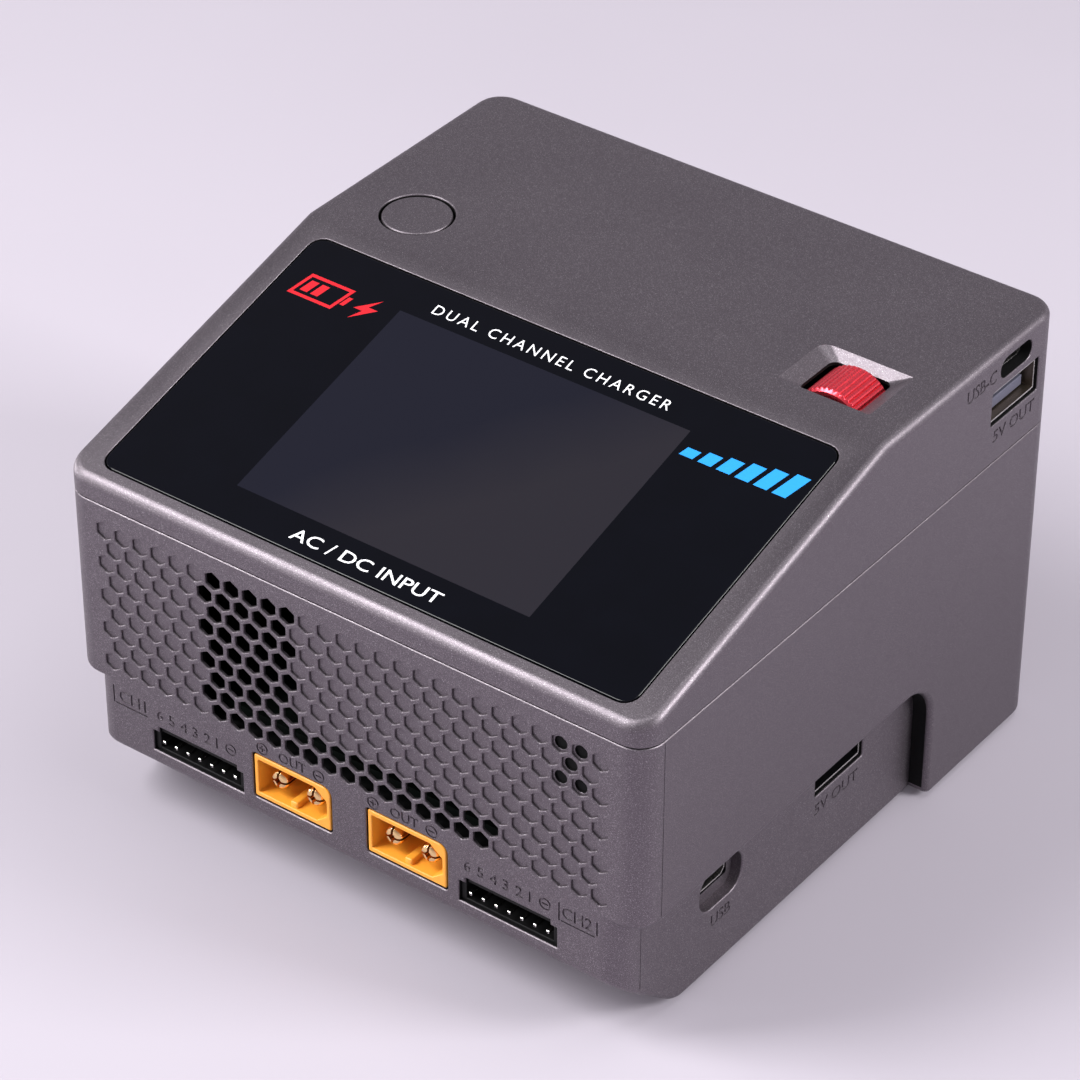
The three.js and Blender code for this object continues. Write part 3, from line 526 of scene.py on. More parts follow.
# ---- Casing ----
def plan(half, into, back, front_radius, rear_radius):
    """The front and rear ends of a casing footprint, each with its two rounded corners."""
    w, fr, rr = half - into, front_radius - into, rear_radius - into
    near, far = into + fr, back - into - rr
    return (
        arc(-w + fr, near, fr, 180) + arc(w - fr, near, fr, 270),
        arc(w - rr, far, rr, 0) + arc(-w + rr, far, rr, 90),
    )


def full_plan(into):
    return plan(SIDE, into, DEPTH, FRONT_RADIUS, REAR_RADIUS)


def cover_ring(into, drop, level=None):
    """One ring of the cover, at a level, or in its top and sloped faces lowered by drop."""
    front, rear = full_plan(into)
    crease = SLOPE_END + drop * (1 / COS - 1) / TAN
    w = SIDE - into
    loop = front + [(w, crease)] + rear + [(-w, crease)]
    if level is not None:
        return [(x, y, level) for x, y in loop]
    return [(x, y, min(FRONT_EDGE + y * TAN - drop / COS, HEIGHT - drop)) for x, y in loop]


def cover_block(into, low, edge):
    """The cover's solid shape: its skin, or its hollow."""
    right = len(full_plan(0)[0])
    left = 2 * right + 1
    slope = [left, *range(right), right]
    top = [right, *range(right + 1, left), left]
    if edge:
        rings = [cover_ring(0.12, 0, low), cover_ring(0, 0, low + 0.12)]
        rings += [cover_ring(a, d) for a, d in quarter(edge, 6)]
    else:
        rings = [cover_ring(into, 0, low), cover_ring(into, into)]
    return loft(rings, high_faces=[slope, top])


def wheel_well():
    outer = rect(WHEEL.x, WHEEL.y, 17.3, 12.9, (0.5, 0.5, 0.5, 2.2))
    inner = rect(WHEEL.x, WHEEL.y, 11.4, 10.1, 1.5)
    levels = [(outer, HEIGHT + 1), (outer, HEIGHT - 0.02), (inner, HEIGHT - 1.6),
              (inner, HEIGHT - WALL - 1)]
    return loft([[(u, v, w) for u, v in outline] for outline, w in levels])


def is_painted_shade(middle, normal):
    """True for faces with painted shade: the casing's inside, black-lined where it lies in shade, and
    the arch's wall, painted dark for its shade.
    """
    x, y, z = middle
    in_recess = x > GRIP_HALF - 2 and 20 < y < 32.2 and 12.5 < z < 20.7
    in_well = abs(x - WHEEL.x) < 8.7 and abs(y - WHEEL.y) < 6.5 and z > HEIGHT - 1.65
    if in_recess or in_well:
        return False
    # the arch's wall is painted black as shade
    in_arch = GRIP_END - GRIP_RADIUS < y < GRIP_END + 0.05 and z < GRIP_TOP
    if abs(x) > GRIP_HALF + 0.05 and normal.y < -0.3 and in_arch:
        return abs(x) < SIDE - LOWER_ROUND - 0.01
    half = SIDE if z > GRIP_TOP + 0.7 or y > GRIP_END + 1 else GRIP_HALF
    under = max(PAINTED_SHADE_FROM, CHIN_HEIGHT * (1 - y / CHIN_DEPTH) + 0.75)
    over = min(FRONT_EDGE + y * TAN, HEIGHT) - PAINTED_SHADE_FROM
    side, end = half - abs(x), min(y, DEPTH - y)
    corner = FRONT_RADIUS if y < DEPTH / 2 else REAR_RADIUS
    if side < corner and end < corner:
        inside = corner - hypot(corner - side, corner - end)
    else:
        inside = min(side, end)
    return inside > PAINTED_SHADE_FROM and under < z < over


def pillars(places, radius, steps, low, high):
    return [prism(along_z, circle(x, y, radius, steps), low, high) for x, y in places]


def build_cover():
    cover = solid("top_cover_shell", cover_block(0, SPLIT + 0.1, TOP_ROUND))
    cut(cover, cover_block(WALL, SPLIT - 10, 0))
    join(cover, prism(on_slope, rect(0, 33.25, 108, 58.5, 2), -4.2, -1.2))
    join(cover, *pillars(POSTS[2:], 3.3, 24, 48.2, 64), *pillars(POSTS[:2], 3.3, 24, 48.2, 68))
    reach = 1.09  # from a rear post out to the side wall
    webs = [box(*sorted((x, x * reach)), y - 1.2, y + 1.2, SPLIT + 1.4, 64) for x, y in POSTS[2:]]
    join(cover, *webs)
    cut(
        cover,
        drill(on_slope, rect(*GLASS, 104.1, 57.5, 2.75), 0, -1.8, 0.15),
        wheel_well(),
        drill(along_z, circle(*BUTTON, 6.4, 72), HEIGHT, HEIGHT - WALL - 1, 0.3),
        drill(along_x, rect(*USB_C, 9.4, 3.8, 1.85), SIDE, SIDE - 4, 0.2),
        drill(along_x, rect(*USB_A_TOP, 13.9, 6.4, 0.4), SIDE, SIDE - 4, 0.2),
        *pillars(POSTS, 1.5, 16, 47, 62),
    )
    cut(cover, prism(on_slope, rect(0, 31.6, 69.8, 50.6, 0.5), -6, -1))
    signs = [engraved("USB-C", along_x, 85.4, 75.6, 2.5, SIDE, 8.6),
             engraved("5V OUT", along_x, 94.2, 63.7, 2.3, SIDE, 12.4)]
    cut(cover, *signs)
    # the cover's inside faces take the black lining of painted shade
    place(cover, [CASING, PAINTED_SHADE_LINING], "top_cover", "casing", second=is_painted_shade)


def underside(drop):
    """The full-width part's lower edge as (y, z) points from the front, moved in by drop."""
    y, z, radius = GRIP_END - GRIP_RADIUS, GRIP_TOP - GRIP_RADIUS, GRIP_RADIUS + drop
    angles = [pi / 2 * i / 10 for i in range(11)]
    arch = [(y + radius * sin(a), z + radius * cos(a)) for a in angles]
    return arch + arc(GRIP_END + HEEL, HEEL, HEEL - min(drop, HEEL - 0.05), 180, 90, 4)


def block_ring(into, drop, level=None):
    """One ring of the full-width part, at a level, or in its underside moved in by drop."""
    front, rear = full_plan(into)
    w = SIDE - into
    edge = underside(drop)
    ring = [(x, y, GRIP_TOP + drop) for x, y in front]
    ring += [(w, y, z) for y, z in edge]
    ring += [(x, y, drop) for x, y in rear]
    ring += [(-w, y, z) for y, z in reversed(edge)]
    return ring if level is None else [(x, y, level) for x, y, _ in ring]


def underside_faces(count, steps):
    """Faces over a ring with count points at each end and steps points along each side."""
    right, rear = count, count + steps
    left = rear + count
    lefts = [left + steps - 1 - k for k in range(steps)]
    faces = [[*range(right), right, lefts[0]]]
    faces += [[right + k, right + k + 1, lefts[k + 1], lefts[k]] for k in range(steps - 1)]
    faces += [[right + steps - 1, *range(rear, left), lefts[-1]]]
    return faces


def full_block(into, high, edge):
    """The full-width part above the chin and behind the step: its skin, or its hollow."""
    faces = underside_faces(len(full_plan(0)[0]), len(underside(0)))
    if edge:
        rings = [block_ring(0.14, edge, high), block_ring(0, edge, high - 0.14)]
        rings += [block_ring(a, d) for a, d in quarter(edge, 5)]
    else:
        rings = [block_ring(into, into, high), block_ring(into, into)]
    return loft(rings, high_faces=faces)


def grip_block(into, high, edge):
    """The narrower lower front part, with its cut-back chin."""
    slant = atan2(CHIN_HEIGHT, CHIN_DEPTH)
    back = 86 if edge else GRIP_END + into
    turns = [slant * (1 - k / 5) for k in range(6)]

    def ring(a, d, level=None):
        front, rear = plan(GRIP_HALF, a, back, FRONT_RADIUS, 0.5 + a)
        centre, radius = CHIN_DEPTH + CHIN_CURVE * tan(slant / 2), CHIN_CURVE - d
        bend = [(centre - radius * sin(t), CHIN_CURVE - radius * cos(t)) for t in turns]
        w, rise = GRIP_HALF - a, d / cos(slant)
        loop = [(x, y, CHIN_HEIGHT - y * tan(slant) + rise) for x, y in front]
        loop += [(w, y, z) for y, z in bend]
        loop += [(x, y, d) for x, y in rear]
        loop += [(-w, y, z) for y, z in reversed(bend)]
        return loop if level is None else [(x, y, level) for x, y, _ in loop]

    faces = underside_faces(len(full_plan(0)[0]), len(turns))
    if edge:
        rings = [ring(0, edge, high)] + [ring(a, d) for a, d in quarter(edge, 5)]
    else:
        rings = [ring(into, into, high), ring(into, into)]
    return loft(rings, high_faces=faces)


def cells():
    """Honeycomb places as (x, z, open, holed)."""
    for row in range(CELL_ROWS):
        shift = 0.5 if row % 2 else 0.0
        z = CELL_TOP - row * ROW_PITCH
        last = -3 - shift if row < CELL_ROWS - 2 else 7 + shift
        column = -13 + shift
        while column <= 13:
            is_open = -7 - shift <= column <= last
            holed = (row in (0, 2) and column in (11, 12)) or (row == 1 and column == 11.5)
            yield column * CELL_PITCH, z, is_open, holed
            column += 1


def hexagon(x, z):
    return rounded(circle(x, z, CELL_CORNER, 6, 90), 0.28)


def balance_outline(x, grow):
    """A balance socket's outline, with its two upper corners cut out."""
    w, h, step, z = 9.45 + grow, 2.5 + grow, 1.3, BALANCE_Z
    ledge = z + h - 1.05
    return [
        (x - w, z - h), (x + w, z - h), (x + w, ledge), (x + w - step, ledge),
        (x + w - step, z + h), (x - w + step, z + h), (x - w + step, ledge), (x - w, ledge),
    ]


def output_outline(x, z, grow):
    """A power socket's outline, with one upper corner rounded more as a key."""
    small, large = 0.35 + grow, 1.5 + grow
    return rect(x, z, 15.6 + 2 * grow, 8.4 + 2 * grow, (small, small, large, small))


def ring_mark(x, z, radius, sign):
    """A circled plus or minus sign, engraved in the front face."""
    level, stroke, arm = 0.2, 0.3, radius * 0.5
    bar = stroke / 2
    outer = circle(x, z, radius, 24)
    steps = ((-1, 0), (level, 0), (level, stroke), (-1, stroke))
    marks = [stack(along_y, outer, steps, closed=True)]
    if sign == "+":
        cross = [(-arm, -bar), (-bar, -bar), (-bar, -arm), (bar, -arm), (bar, -bar), (arm, -bar)]
        cross += [(-u, -v) for u, v in cross]
        marks.append(prism(along_y, [(x + u, z + v) for u, v in cross], -1, level))
    else:
        marks.append(prism(along_y, rect(x, z, 2 * arm, stroke, 0.05, 1), -1, level))
    return marks


def front_marks():
    """Channel and pin numbers and output signs, engraved beside the sockets."""
    marks = []

    def text(words, x, z, height, width=None):
        marks.append(engraved(words, along_y, x, z, height, 0, width))

    left = (-39.15, -36.6, -34.1, -31.6, -29.15, -26.65)
    right = (23.65, 26.25, 28.7, 31.15, 33.65, 36.2)
    for x, digit in zip(left + right, "654321" * 2):
        text(digit, x - 0.6, 21.15, 2.1)
    for x in (-24.15, 38.7):
        marks.extend(ring_mark(x, 22.3, 1.15, "-"))
    for centre in (-OUTPUT_X, OUTPUT_X):
        shift = 0.35 if centre < 0 else -0.3
        marks.extend(ring_mark(centre - 6.2 + shift, 25.7, 1.2, "+"))
        marks.extend(ring_mark(centre + 5.4 + shift, 25.7, 1.2, "-"))
        text("OUT", centre - 2.8 + shift, 24.8, 1.95, 5.6)
    for label, left in (("CH1", -47.8), ("CH2", 42.0)):
        text(label, left, 21.3, 2.3, 5.7)
    lines = ((-49.15, -48.85, 20.5, 24.0), (-48.6, -41.9, 20.5, 20.8), (41.25, 41.55, 20.4, 24.0),
             (48.45, 48.75, 20.95, 23.6), (41.8, 48.2, 20.4, 20.7))
    for x0, x1, z0, z1 in lines:
        marks.append(box(x0, x1, -1, 0.2, z0, z1))
    return marks


def rim_shape():
    """The lip round the housing's upper edge that the cover fits over."""
    def slab(into, low, high):
        return prism(along_z, sum(full_plan(into), []), SPLIT + low, SPLIT + high)

    rim = solid("rim", slab(WALL + 0.2, -1.6, 1.1))
    join(rim, slab(1.0, -1.6, -0.5))
    cut(rim, slab(WALL + 1.2, -5, 5))
    cut(rim, *pillars(POSTS, 3.6, 24, SPLIT - 5, SPLIT + 5))
    vertices = [tuple(v.co) for v in rim.data.vertices]
    faces = [tuple(f.vertices) for f in rim.data.polygons]
    bpy.data.objects.remove(rim)
    return vertices, faces


def build_housing():
    housing = solid("lower_housing_shell", full_block(0, SPLIT - 0.1, LOWER_ROUND))
    join(housing, grip_block(0, GRIP_TOP + 2, LOWER_ROUND))
    cut(housing, full_block(WALL, SPLIT + 3, 0))
    cut(housing, grip_block(WALL, GRIP_TOP + WALL + 2, 0))
    join(housing, rim_shape())
    join(housing, *pillars(POSTS, 4.3, 32, 1, 48))
    cut(
        housing,
        *[drill(along_z, circle(x, y, 3.2, 32), 0, 36, 0.3) for x, y in POSTS],
        *[drill(along_z, circle(x, y, 5.3, 48), 0, 0.9, 0.2) for x, y in FEET],
    )
    cut(housing, *pillars(POSTS, 1.7, 20, 35, 49))
    pockets = [
        drill(along_y, hexagon(x, z), 0, WALL + 1 if is_open else 0.4, 0.2)
        for x, z, is_open, _ in cells()
    ]
    cut(housing, *pockets)
    thinned = [(-30.4, 26.6), (30.4, 26.6), (30.4, 34.2), (-9, 34.2), (-9, 56.9), (-30.4, 56.9)]
    cut(
        housing,
        prism(along_y, thinned, 0.6, WALL + 1),
        prism(along_y, rect(*BUZZER, 7.6, 10.2, 1.0), 0.8, WALL + 1),
        *[drill(along_y, circle(x, z, 1.17, 24), 0.38, WALL + 1, 0.08)
          for x, z, _, holed in cells() if holed],
    )
    face = GRIP_HALF
    join(housing, box(face - 4.1, face - 1, 18.5, 33.7, 14, 21.5))
    cut(
        housing,
        *[drill(along_y, output_outline(s * OUTPUT_X, OUTPUT_Z, 0.3), 0, WALL + 1, 0.32)
          for s in (-1, 1)],
        *[drill(along_y, balance_outline(s * BALANCE_X, 0.05), 0, WALL + 1, 0.34) for s in (-1, 1)],
        drill(along_x, rect(*USB_A_SIDE, 13.7, 6.6, 0.4), face, face - WALL - 1, 0.25),
        drill(along_x, rect(*MICRO_USB, 11.5, 7.6, 3.2), face, face - 1.9, 0.3),
        drill(along_y, rect(0, 31, 94, 50, 1.0), DEPTH, DEPTH - 5, 0.35),
    )
    cut(housing, prism(along_x, rect(*MICRO_USB, 8.0, 3.1, 0.5), face - 7, face - 1))
    signs = [engraved("5V OUT", along_x, 52.2, 12.7, 2.2, face, 12.4),
             engraved("USB", along_x, 23.5, 9.0, 2.3, face, 5.3)]
    cut(housing, *front_marks(), *signs)
    line = 0.06  # depth of the mould's witness lines
    for side in (-1, 1):
        wide, narrow = side * SIDE, side * GRIP_HALF
        cut(
            housing,
            box(wide - line, wide + line, 4.72, 4.86, GRIP_TOP + 1.2, SPLIT - 0.3),
            box(narrow - line, narrow + line, 4.55, 4.69, 9.5, GRIP_TOP - 0.5),
        )
    # the inside faces and the arch's wall take the black lining of painted shade
    place(housing, [CASING, PAINTED_SHADE_LINING], "lower_housing", "casing", second=is_painted_shade)


def build_rear_panel():
    """The rear panel, and the fan's countersunk screws in it."""
    plate = prism(along_y, rect(0, 31, 93.4, 49.4, 0.8), PANEL - 3, PANEL, 0, 0.25)
    panel = solid("rear_panel_plate", plate)
    join(panel, prism(along_y, rect(0, 30.75, 98, 53.5, 0.5), PANEL - 4.2, PANEL - 2.2))
    slots = []
    for i in range(10):
        z = (i - 4.5) * 4.4
        half = sqrt(FAN_OPENING ** 2 - z * z)
        outline = rect(FAN[0], FAN[1] + z, 2 * half, 2.6, 1.28)
        slots.append(drill(along_y, outline, PANEL, PANEL - 7, 0.25))
    cut(
        panel,
        *slots,
        prism(along_y, rect(*AC_INLET, 27.3, 20.1, 1.1), PANEL - 7, PANEL + 1),
        prism(along_y, rect(*DC_INPUT, 16.2, 9.0, (0.4, 0.4, 0.4, 1.6)), PANEL - 7, PANEL + 1),
    )
    reaches = (-FAN_SCREW, FAN_SCREW)
    screws = [(FAN[0] + u, FAN[1] + v) for u in reaches for v in reaches]
    cut(panel, *[drill(along_y, circle(x, z, 2.5, 32), PANEL, PANEL - 1.3, 0.3) for x, z in screws])
    place(panel, CASING, "rear_panel", "casing")
    head = ((0.01, 1.32), (2.1, 1.32), (2.1, 0.7), (1.9, 0.45), (1.3, 0.28), (0.01, 0.22))
    profile = [(radius, PANEL - depth) for radius, depth in head]
    heads = solid("fan_screw_heads", *[lathe(profile, spot, 32, along_y) for spot in screws])
    for wide, tall in ((2.0, 0.5), (0.5, 2.0)):
        cut(heads, *[prism(along_y, rect(x, z, wide, tall, 0.1, 1), PANEL - 0.9, PANEL + 1)
                     for x, z in screws])
    place(heads, DARK_STEEL, slot="steel")


# ---- Display ----
def build_display():
    outline = rect(*GLASS, 103.6, 57.0, 2.5)
    levels = [(-1.5, 0.0), (-0.2, 0.0), (-0.08, 0.06), (0.0, 0.2)]
    rings = [[on_slope(u, v, w) for u, v in inset(outline, a)] for w, a in levels]
    rings.append([on_slope(u, v, 0.0) for u, v in rect(*SCREEN_SPOT, *SCREEN_SIZE, 0.15)])
    lens = solid("display_lens", loft(rings))
    across, up = SCREEN_SPOT

    def over_panel(middle, normal):
        in_the_middle = abs(middle.x - across) < 1 and abs(middle.y - up * COS) < 2
        return in_the_middle and middle.z > FRONT_EDGE + up * SIN - 0.5

    # the lens faces over the panel show the screen's painted reflection
    place(lens, [LENS, SCREEN_PAINTED_REFLECTION], "display_glass", "black_glass", second=over_panel)
    words = "DUAL CHANNEL CHARGER"
    top = letters(words, on_slope, -24, 54.8, 2.05, INK_LEVEL, INK, 46.6, -0.004, 0, 1.32)
    low = letters("AC / DC INPUT", on_slope, -14.8, 5.4, 2.3, INK_LEVEL, INK, 29, 0.004)
    for name, shape in (("print_top", top), ("print_low", low)):
        place(solid(name, shape), WHITE_INK, slot="black_glass")
    place(solid("print_battery", *battery_mark()), RED_INK, slot="black_glass")
    place(solid("print_bars", *bars_mark()), BLUE_INK, slot="black_glass")


def printed(points):
    return prism(on_slope, points, INK_LEVEL, INK_LEVEL + INK)


def battery_mark():
    """A slanted battery outline, half full, and a lightning bolt, in red."""
    slant, foot = 0.28, 47.7

    def lean(points):
        return [(u + slant * (v - foot), v) for u, v in points]

    def bar(*edges):
        return printed(lean(corners(*edges)))

    left, right, low, high, stroke = -48.6, -39.6, 47.9, 53.1, 0.62
    edges = corners(left, right, low, high)
    inner = corners(left + stroke, right - stroke, low + stroke, high - stroke)
    over = INK_LEVEL + INK
    loops = ((edges, INK_LEVEL), (edges, over), (inner, over), (inner, INK_LEVEL))
    rings = [[on_slope(u, v, w) for u, v in lean(loop)] for loop, w in loops]
    marks = [loft(rings, closed=True), bar(-39.3, -38.5, 49.5, 51.5)]
    marks += [bar(u, u + 1.5, 49.2, 51.8) for u in (-47.3, -45.1)]
    bolt = [(-35.8, 47.7), (-33.0, 51.1), (-34.9, 51.1), (-34.1, 53.3), (-36.9, 50.0), (-35.1, 50.0)]
    marks.append(printed(lean(bolt)))
    return marks


def bars_mark():
    """Slanted charge bars of rising height, in blue."""
    marks = []
    slant, foot, wide = 0.3, 48.2, 2.5
    for i in range(6):
        u, top = 29.4 + i * 3.45, 50.0 + i * 0.64
        shift = slant * (top - foot)
        marks.append(printed([(u, foot), (u + wide, foot), (u + wide + shift, top), (u + shift, top)]))
    return marks


# ---- Controls ----
def build_button():
    """A flat round cap, on a flange and a stem that reach under the cover."""
    r, flange, top, ledge = 5.95, 7.3, HEIGHT - 0.1, HEIGHT - WALL - 0.15
    profile = [(0.01, 68.7), (1.5, 68.7), (1.5, 76.2), (flange, 76.2), (flange, ledge), (r, ledge)]
    profile += [(r - into, top - depth) for depth, into in reversed(quarter(0.4, 5))]
    profile += [(r - 1.5, top), (0.01, top)]
    cap = solid("power_button_cap", lathe(profile, BUTTON, 72))
    place(cap, CASING, "power_button", "casing", "button")


def build_wheel():
    """A red knurled wheel with chamfered ends and dished faces, on its steel axle."""
    teeth, root, tip, end, chamfer = 40, 6.12, 6.4, 5.85, 0.5
    profile = ((-0.5, root), (-0.4, tip - 0.14), (-0.25, tip - 0.04), (0.0, tip), (0.25, tip - 0.04),
               (0.4, tip - 0.14))
    front, back = WHEEL.y - 4.35, WHEEL.y + 4.35
    hub = (WHEEL.x, WHEEL.z)

    def ring(y, widest):
        points = []
        for i in range(teeth):
            for share, radius in profile:
                angle, reach = 2 * pi * (i + share) / teeth, min(radius, widest)
                points.append((WHEEL.x + reach * cos(angle), y, WHEEL.z + reach * sin(angle)))
        return points

    steps = [(chamfer * k / 5, end + (tip - end) * k / 5) for k in range(6)]
    rings = [ring(front + depth, widest) for depth, widest in steps]
    rings += [ring(back - depth, widest) for depth, widest in reversed(steps)]
    wheel = solid("thumb_wheel_rim", loft(rings))
    dish = circle(*hub, 5.2, 64)
    cut(wheel, drill(along_y, dish, front, front + 1, 0.2), drill(along_y, dish, back, back - 1, 0.2))
    cut(wheel, prism(along_y, circle(*hub, 1.26, 32), front - 2, back + 2))
    place(wheel, RED, "thumb_wheel", "red_anodised", "wheel", sharp=42)
    reach = 6.4  # half the axle's length
    pin = prism(along_y, circle(*hub, 1.2, 32), WHEEL.y - reach, WHEEL.y + reach, 0.2, 0.2)
    place(solid("wheel_axle_pin", pin), STEEL, "wheel_axle", "steel", "wheel")


# ---- Connectors ----
def power_connector(name, pins, nodes, spot):
    """A keyed two-pin power socket that faces the front, moved by the matrix spot."""
    length, apart = 16, 3.6
    shell = solid(name, prism(along_y, output_outline(0, 0, 0), 0, length, 0.3, 0.2))
    left, right, low, high = -7.0, 7.0, -3.3, 3.3
    cavity = rounded([(left, low), (right - 2.1, low), (right, low + 1.7), (right, high - 1.9),
                      (right - 2.4, high), (left, high)], 0.25, 3)
    cut(shell, drill(along_y, cavity, 0, length - 3, 0.18))
    join(shell, prism(along_y, rect(0, -2.95, 1.45, 1.5, 0.3), 0.3, length - 2, 0.3))
    holes = [circle(s * apart, 0, 1.84, 32) for s in (-1, 1)]
    cut(shell, *[prism(along_y, hole, length - 4, length + 1) for hole in holes])
    made = [shell]
    profile = [(0.01, 0.8), (1.0, 0.8), (1.35, 0.92), (1.62, 1.25), (1.75, 1.8), (1.75, 6.5),
               (1.62, 7.0), (1.62, 9.6), (1.75, 10.0), (1.75, length + 2), (0.01, length + 2)]
    for x, pin_name in zip((-apart, apart), pins):
        pin = solid(pin_name, lathe(profile, (x, 0), 40, along_y))
        slits = [rect(x, 0, wide, tall, 0.05, 1) for wide, tall in ((0.42, 5), (5, 0.42))]
        for gap in (*slits, circle(x, 0, 0.62, 20)):
            cut(pin, prism(along_y, gap, 0, 8))
        made.append(pin)
    for piece, node in zip(made, nodes):
        piece.data.transform(spot)
        material, slot = (ORANGE, "orange_nylon") if piece is shell else (GOLD, "gold_contact")
        place(piece, material, node, slot)


def build_power_connectors():
    sunk = 0.1
    for n, side in ((1, -1), (2, 1)):
        spot = Matrix.Translation((side * OUTPUT_X, sunk, OUTPUT_Z))
        nodes = [f"output_{part}_{n}" for part in ("shell", "pin_plus", "pin_minus")]
        power_connector(f"output_socket_{n}", (f"output_plus_{n}", f"output_minus_{n}"), nodes, spot)
    x, z = DC_INPUT
    spot = Matrix.Translation((x, PANEL - sunk, z)) @ Matrix.Rotation(pi, 4, "Z")
    power_connector("dc_input_socket", ("dc_plus", "dc_minus"),
                    ("dc_input_shell", "dc_pin_plus", "dc_pin_minus"), spot)


def build_balance_sockets():
    for n, side in ((1, -1), (2, 1)):
        x, z, face = side * BALANCE_X, BALANCE_Z - 0.55, 0.7
        places = [x + (i - 3) * PIN_PITCH for i in range(7)]
        body = prism(along_y, balance_outline(x, -0.02), face, 12, 0.12, 0.1)
        shell = solid(f"balance_socket_{n}", body)
        cut(shell, drill(along_y, rect(x, BALANCE_Z - 0.3, 16.9, 3.4, 0.15, 2), face, 9.4, 0.12))
        cut(shell, *[prism(along_y, rect(p, z, 0.84, 0.84, 0.05, 1), 9, 13) for p in places])
        place(shell, SOCKET_BLACK, f"balance_shell_{n}", "black_plastic")
        row = [prism(along_y, rect(p, z, 0.6, 0.6, 0.04, 1), 0.35, 12.6, 0.24) for p in places]
        pins = solid(f"balance_pins_row_{n}", *row)
        join(pins, box(x - 8, x + 8, 12.3, 12.9, 14.0, z + 0.32))
        place(pins, PIN_STEEL, f"balance_pins_{n}", "steel")


def usb_a(name, spot, face, tongue_low, tongue_material, tongue_slot, inner_material):
    """A USB-A port: a steel sleeve, and an insert whose tongue has four contact grooves."""
    y, z = spot
    back = face - 13.5
    sleeve = tube(rect(y, z, 13.2, 5.7, 0.45), 0.35, back, face - 0.5)
    shell = solid(f"{name}_sleeve", sleeve)

    def inside(middle, normal):
        return middle.x < face - 0.55 and (middle.y - y) * normal.y + (middle.z - z) * normal.z < 0

    place(shell, [STEEL, inner_material], f"{name}_shell", "steel", second=inside)
    base = prism(along_x, rect(y, z, 12.4, 4.9, 0.2, 2), back + 0.2, back + 3.5)
    tongue = solid(f"{name}_insert", base)
    blade = rect(y, tongue_low + 0.95, 10.8, 1.9, 0.12, 2)
    join(tongue, prism(along_x, blade, back + 3, face - 2.1, 0, 0.15))
    grooves = [rect(y + u, tongue_low + 1.9, 1.0, 0.3, 0.05, 1) for u in (-3.5, -1.0, 1.0, 3.5)]
    cut(tongue, *[prism(along_x, groove, back + 3.6, face - 3.2, 0.05, 0.05, 1) for groove in grooves])
    place(tongue, tongue_material, f"{name}_tongue", tongue_slot)


def small_port(name, sleeve, base, blade):
    """A small USB port from its steel sleeve, and the base and blade of its tongue."""
    place(solid(f"{name}_sleeve", sleeve), STEEL, f"{name}_shell", "steel")
    tongue = join(solid(f"{name}_insert", base), blade)
    place(tongue, BLACK, f"{name}_tongue", "black_plastic")


def build_usb_ports():
    usb_a("usb_a_top", USB_A_TOP, SIDE, 68.2, GREY_PLASTIC, "grey_plastic", PLATED)
    # the side port's sleeve is dark steel inside: painted shade for its hollow under the step
    usb_a("usb_a_side", USB_A_SIDE, GRIP_HALF, 19.9, BLACK, "black_plastic", DARK_STEEL)
    front = SIDE - 1.9
    small_port(
        "usb_c",
        tube(rect(*USB_C, 8.9, 3.2, 1.55), 0.3, front - 7, front),
        prism(along_x, rect(*USB_C, 8.1, 2.4, 1.15), front - 6.9, front - 5.2),
        prism(along_x, rect(*USB_C, 6.6, 0.7, 0.1, 2), front - 5.5, front - 0.8, 0, 0.1),
    )
    floor = GRIP_HALF - 1.9
    y, z = MICRO_USB
    shape = [(-2.75, -1.3), (2.75, -1.3), (3.75, -0.3), (3.75, 1.3), (-3.75, 1.3), (-3.75, -0.3)]
    outline = rounded([(y + u, z + v) for u, v in shape], 0.25)
    small_port(
        "micro_usb",
        tube(outline, 0.3, floor - 5.6, floor - 0.05),
        prism(along_x, inset(outline, 0.36), floor - 5.5, floor - 4.0),
        prism(along_x, rect(y, z + 0.35, 3.8, 0.5, 0.08, 2), floor - 4.3, floor - 0.8, 0, 0.08),
    )


def build_ac_inlet():
    x, z = AC_INLET
    body = prism(along_y, rect(x, z, 27, 19.8, 1.0), PANEL - 25, PANEL, 0.2, 0.4)
    shell = solid("ac_inlet_body", body)
    shape = [(-12, -5.2), (-9, -8.2), (9, -8.2), (12, -5.2), (12, 8.2), (-12, 8.2)]
    cavity = rounded([(x + u, z + v) for u, v in shape], 0.5, 3)
    cut(shell, drill(along_y, cavity, PANEL, PANEL - 16, 0.5))
    spots = [(x + 7, z - 2), (x - 7, z - 2), (x, z + 2)]
    holes = [rect(*spot, 2.2, 4.2, 0.3) for spot in spots]
    cut(shell, *[prism(along_y, hole, PANEL - 27, PANEL - 15) for hole in holes])
    place(shell, BLACK, "ac_inlet", "black_plastic")
    for spot, node in zip(spots, ("ac_pin_line", "ac_pin_neutral", "ac_pin_earth")):
        blade = prism(along_y, rect(*spot, 2, 4, 0.3), PANEL - 27, PANEL - 2.5, 0.1, 0.6, 4)
        place(solid(f"{node}_blade", blade), STEEL, node, "steel")


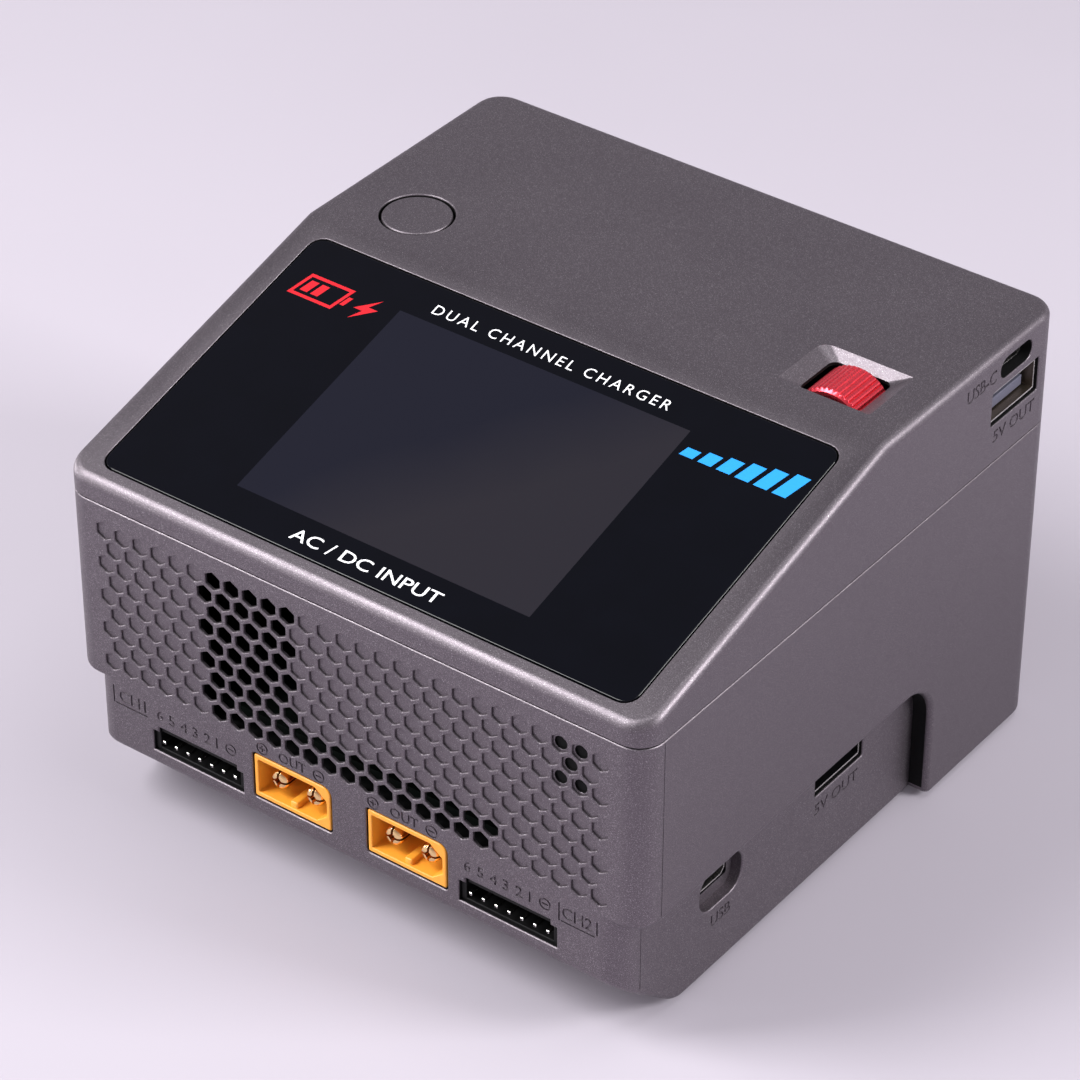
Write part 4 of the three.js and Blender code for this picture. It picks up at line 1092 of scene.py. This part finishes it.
def build_feet():
    """The rubber feet, and the long screws that hold the shells together."""
    profile = [(0.01, -FOOT), (4.5, -FOOT), (4.85, -0.68), (5.0, -0.4), (5.0, 0.8), (0.01, 0.8)]
    for n, spot in enumerate(FEET, 1):
        place(solid(f"foot_pad_{n}", lathe(profile, spot, 64)), RUBBER, f"foot_{n}", "rubber_foot")
    profile = [(0.01, 33.5), (2.2, 33.5), (2.6, 33.7), (2.8, 34.1), (2.8, 35.9), (1.4, 35.9),
               (1.4, 60.5), (0.01, 60.7)]
    for n, (x, y) in enumerate(POSTS, 1):
        screw = solid(f"case_screw_body_{n}", lathe(profile, (x, y), 40))
        cut(screw, prism(along_z, circle(x, y, 1.3, 6), 33, 34.8))
        place(screw, STEEL, f"case_screw_{n}", "steel")


def build_painted_shade_sheet():
    """A black sheet over the front connectors, turned up at the back: painted shade, so the inside
    shows dark through the honeycomb.
    """
    outline = [(2.5, 24.15), (19, 24.15), (19.6, 26.0), (19.3, 26.1), (18.7, 24.4), (2.5, 24.4)]
    # the sheet takes the black lining of painted shade
    place(solid("painted_shade_sheet", prism(along_x, outline, -36, 36)), PAINTED_SHADE_LINING)


def dress_frame():
    """Materials for the CAD nodes that show as they are."""
    looks = {
        # the LCD module takes the screen's painted reflection too
        "lcd_module": SCREEN_PAINTED_REFLECTION,
        "display_board control_board usb_board power_supply_board main_board": CIRCUIT,
        "button_switch wheel_cradle wheel_encoder buzzer fan_frame fan_rotor": BLACK,
        "transformer_core inductor_1 inductor_2": FERRITE,
        "transformer_winding": COPPER,
        "mains_capacitor_1 mains_capacitor_2": SLEEVE,
        "heatsink_1 heatsink_2": ALUMINIUM,
    }
    for nodes, material in looks.items():
        for node in nodes.split():
            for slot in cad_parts[node].material_slots:
                slot.material = material


# ---- Studio ----
def area_light(name, position, target, size, power):
    data = bpy.data.lights.new(name, "AREA")
    data.shape = "RECTANGLE"
    data.size, data.size_y = size
    data.energy = power
    lamp = add_object(name, data)
    lamp.location = position
    lamp.rotation_euler = (Vector(target) - Vector(position)).to_track_quat("-Z", "Y").to_euler()


def build_floor():
    """A pale, slightly lilac floor, its tone changing slowly."""
    floor = bpy.data.meshes.new("floor")
    floor.from_pydata([(x, y, 0) for x, y in corners(-6, 6, -6, 6)], [], [range(4)])
    ground = add_object("floor", floor)
    material, tree, shader = new_material("floor", Specular_IOR_Level=0.2)
    field = noise(tree, 8, 3)
    tone = spread(tree, field, (0.404, 0.373, 0.42), (0.418, 0.386, 0.434))
    drive(tree, shader, tone, spread(tree, field, 0.55, 0.6))
    shader.inputs["Emission Color"].default_value = (0.73, 0.665, 0.765, 1)
    shader.inputs["Emission Strength"].default_value = 0.06
    floor.materials.append(material)


def build_lighting():
    """A soft room that is darker overhead, with five soft lights."""
    world = bpy.data.worlds.new("studio")
    bpy.context.scene.world = world
    world.use_nodes = True
    tree = world.node_tree
    background = tree.nodes["Background"]
    coordinates = tree.nodes.new("ShaderNodeTexCoord")
    split = tree.nodes.new("ShaderNodeSeparateXYZ")
    tree.links.new(coordinates.outputs["Generated"], split.inputs["Vector"])
    sky = ramp(tree, split.outputs["Z"], [
        (0.0, (0.75, 0.70, 0.78)), (0.30, (0.66, 0.62, 0.69)), (0.58, (0.36, 0.337, 0.375)),
        (0.74, (0.28, 0.268, 0.308)), (0.86, (0.235, 0.232, 0.265)),
    ])
    tree.links.new(sky, background.inputs["Color"])
    background.inputs["Strength"].default_value = 1.0
    area_light("key", (-0.432, -0.426, 0.708), (0, -0.03, 0.06), (0.36, 0.54), 10.6)
    area_light("front", (-0.44, -0.70, 0.24), (0, 0, 0.05), (0.16, 0.12), 0.75)
    area_light("left", (-0.74, -0.17, 0.06), (0, 0, 0.05), (0.3, 0.1), 2.3)
    area_light("overhead", (0.3, 0.1, 1.2), (0, 0, 0), (0.5, 0.5), 3.4)
    area_light("side", (0.88, 0.30, 0.58), (0, 0, 0.04), (0.34, 0.4), 11.0)


def build_camera():
    """The photograph's viewpoint, found by fitting the casing's corners."""
    data = bpy.data.cameras.new("camera")
    data.lens = 144.9
    data.sensor_width = 36
    data.clip_start = 0.01
    camera = add_object("camera", data)
    spot = Vector((0.342787, -0.46313, 0.45613))
    target = Vector((0.005287, -0.01348, 0.05247))
    turn = (target - spot).to_track_quat("-Z", "Y").to_matrix().to_4x4()
    camera.matrix_world = Matrix.Translation(spot) @ turn @ Matrix.Rotation(radians(0.083), 4, "Z")
    bpy.context.scene.camera = camera
    bpy.context.scene.view_settings.view_transform = "Standard"


build_camera()
build_cover()
build_housing()
build_rear_panel()
build_display()
build_button()
build_wheel()
build_power_connectors()
build_balance_sockets()
build_usb_ports()
build_ac_inlet()
build_feet()
build_painted_shade_sheet()
dress_frame()
build_floor()
build_lighting()
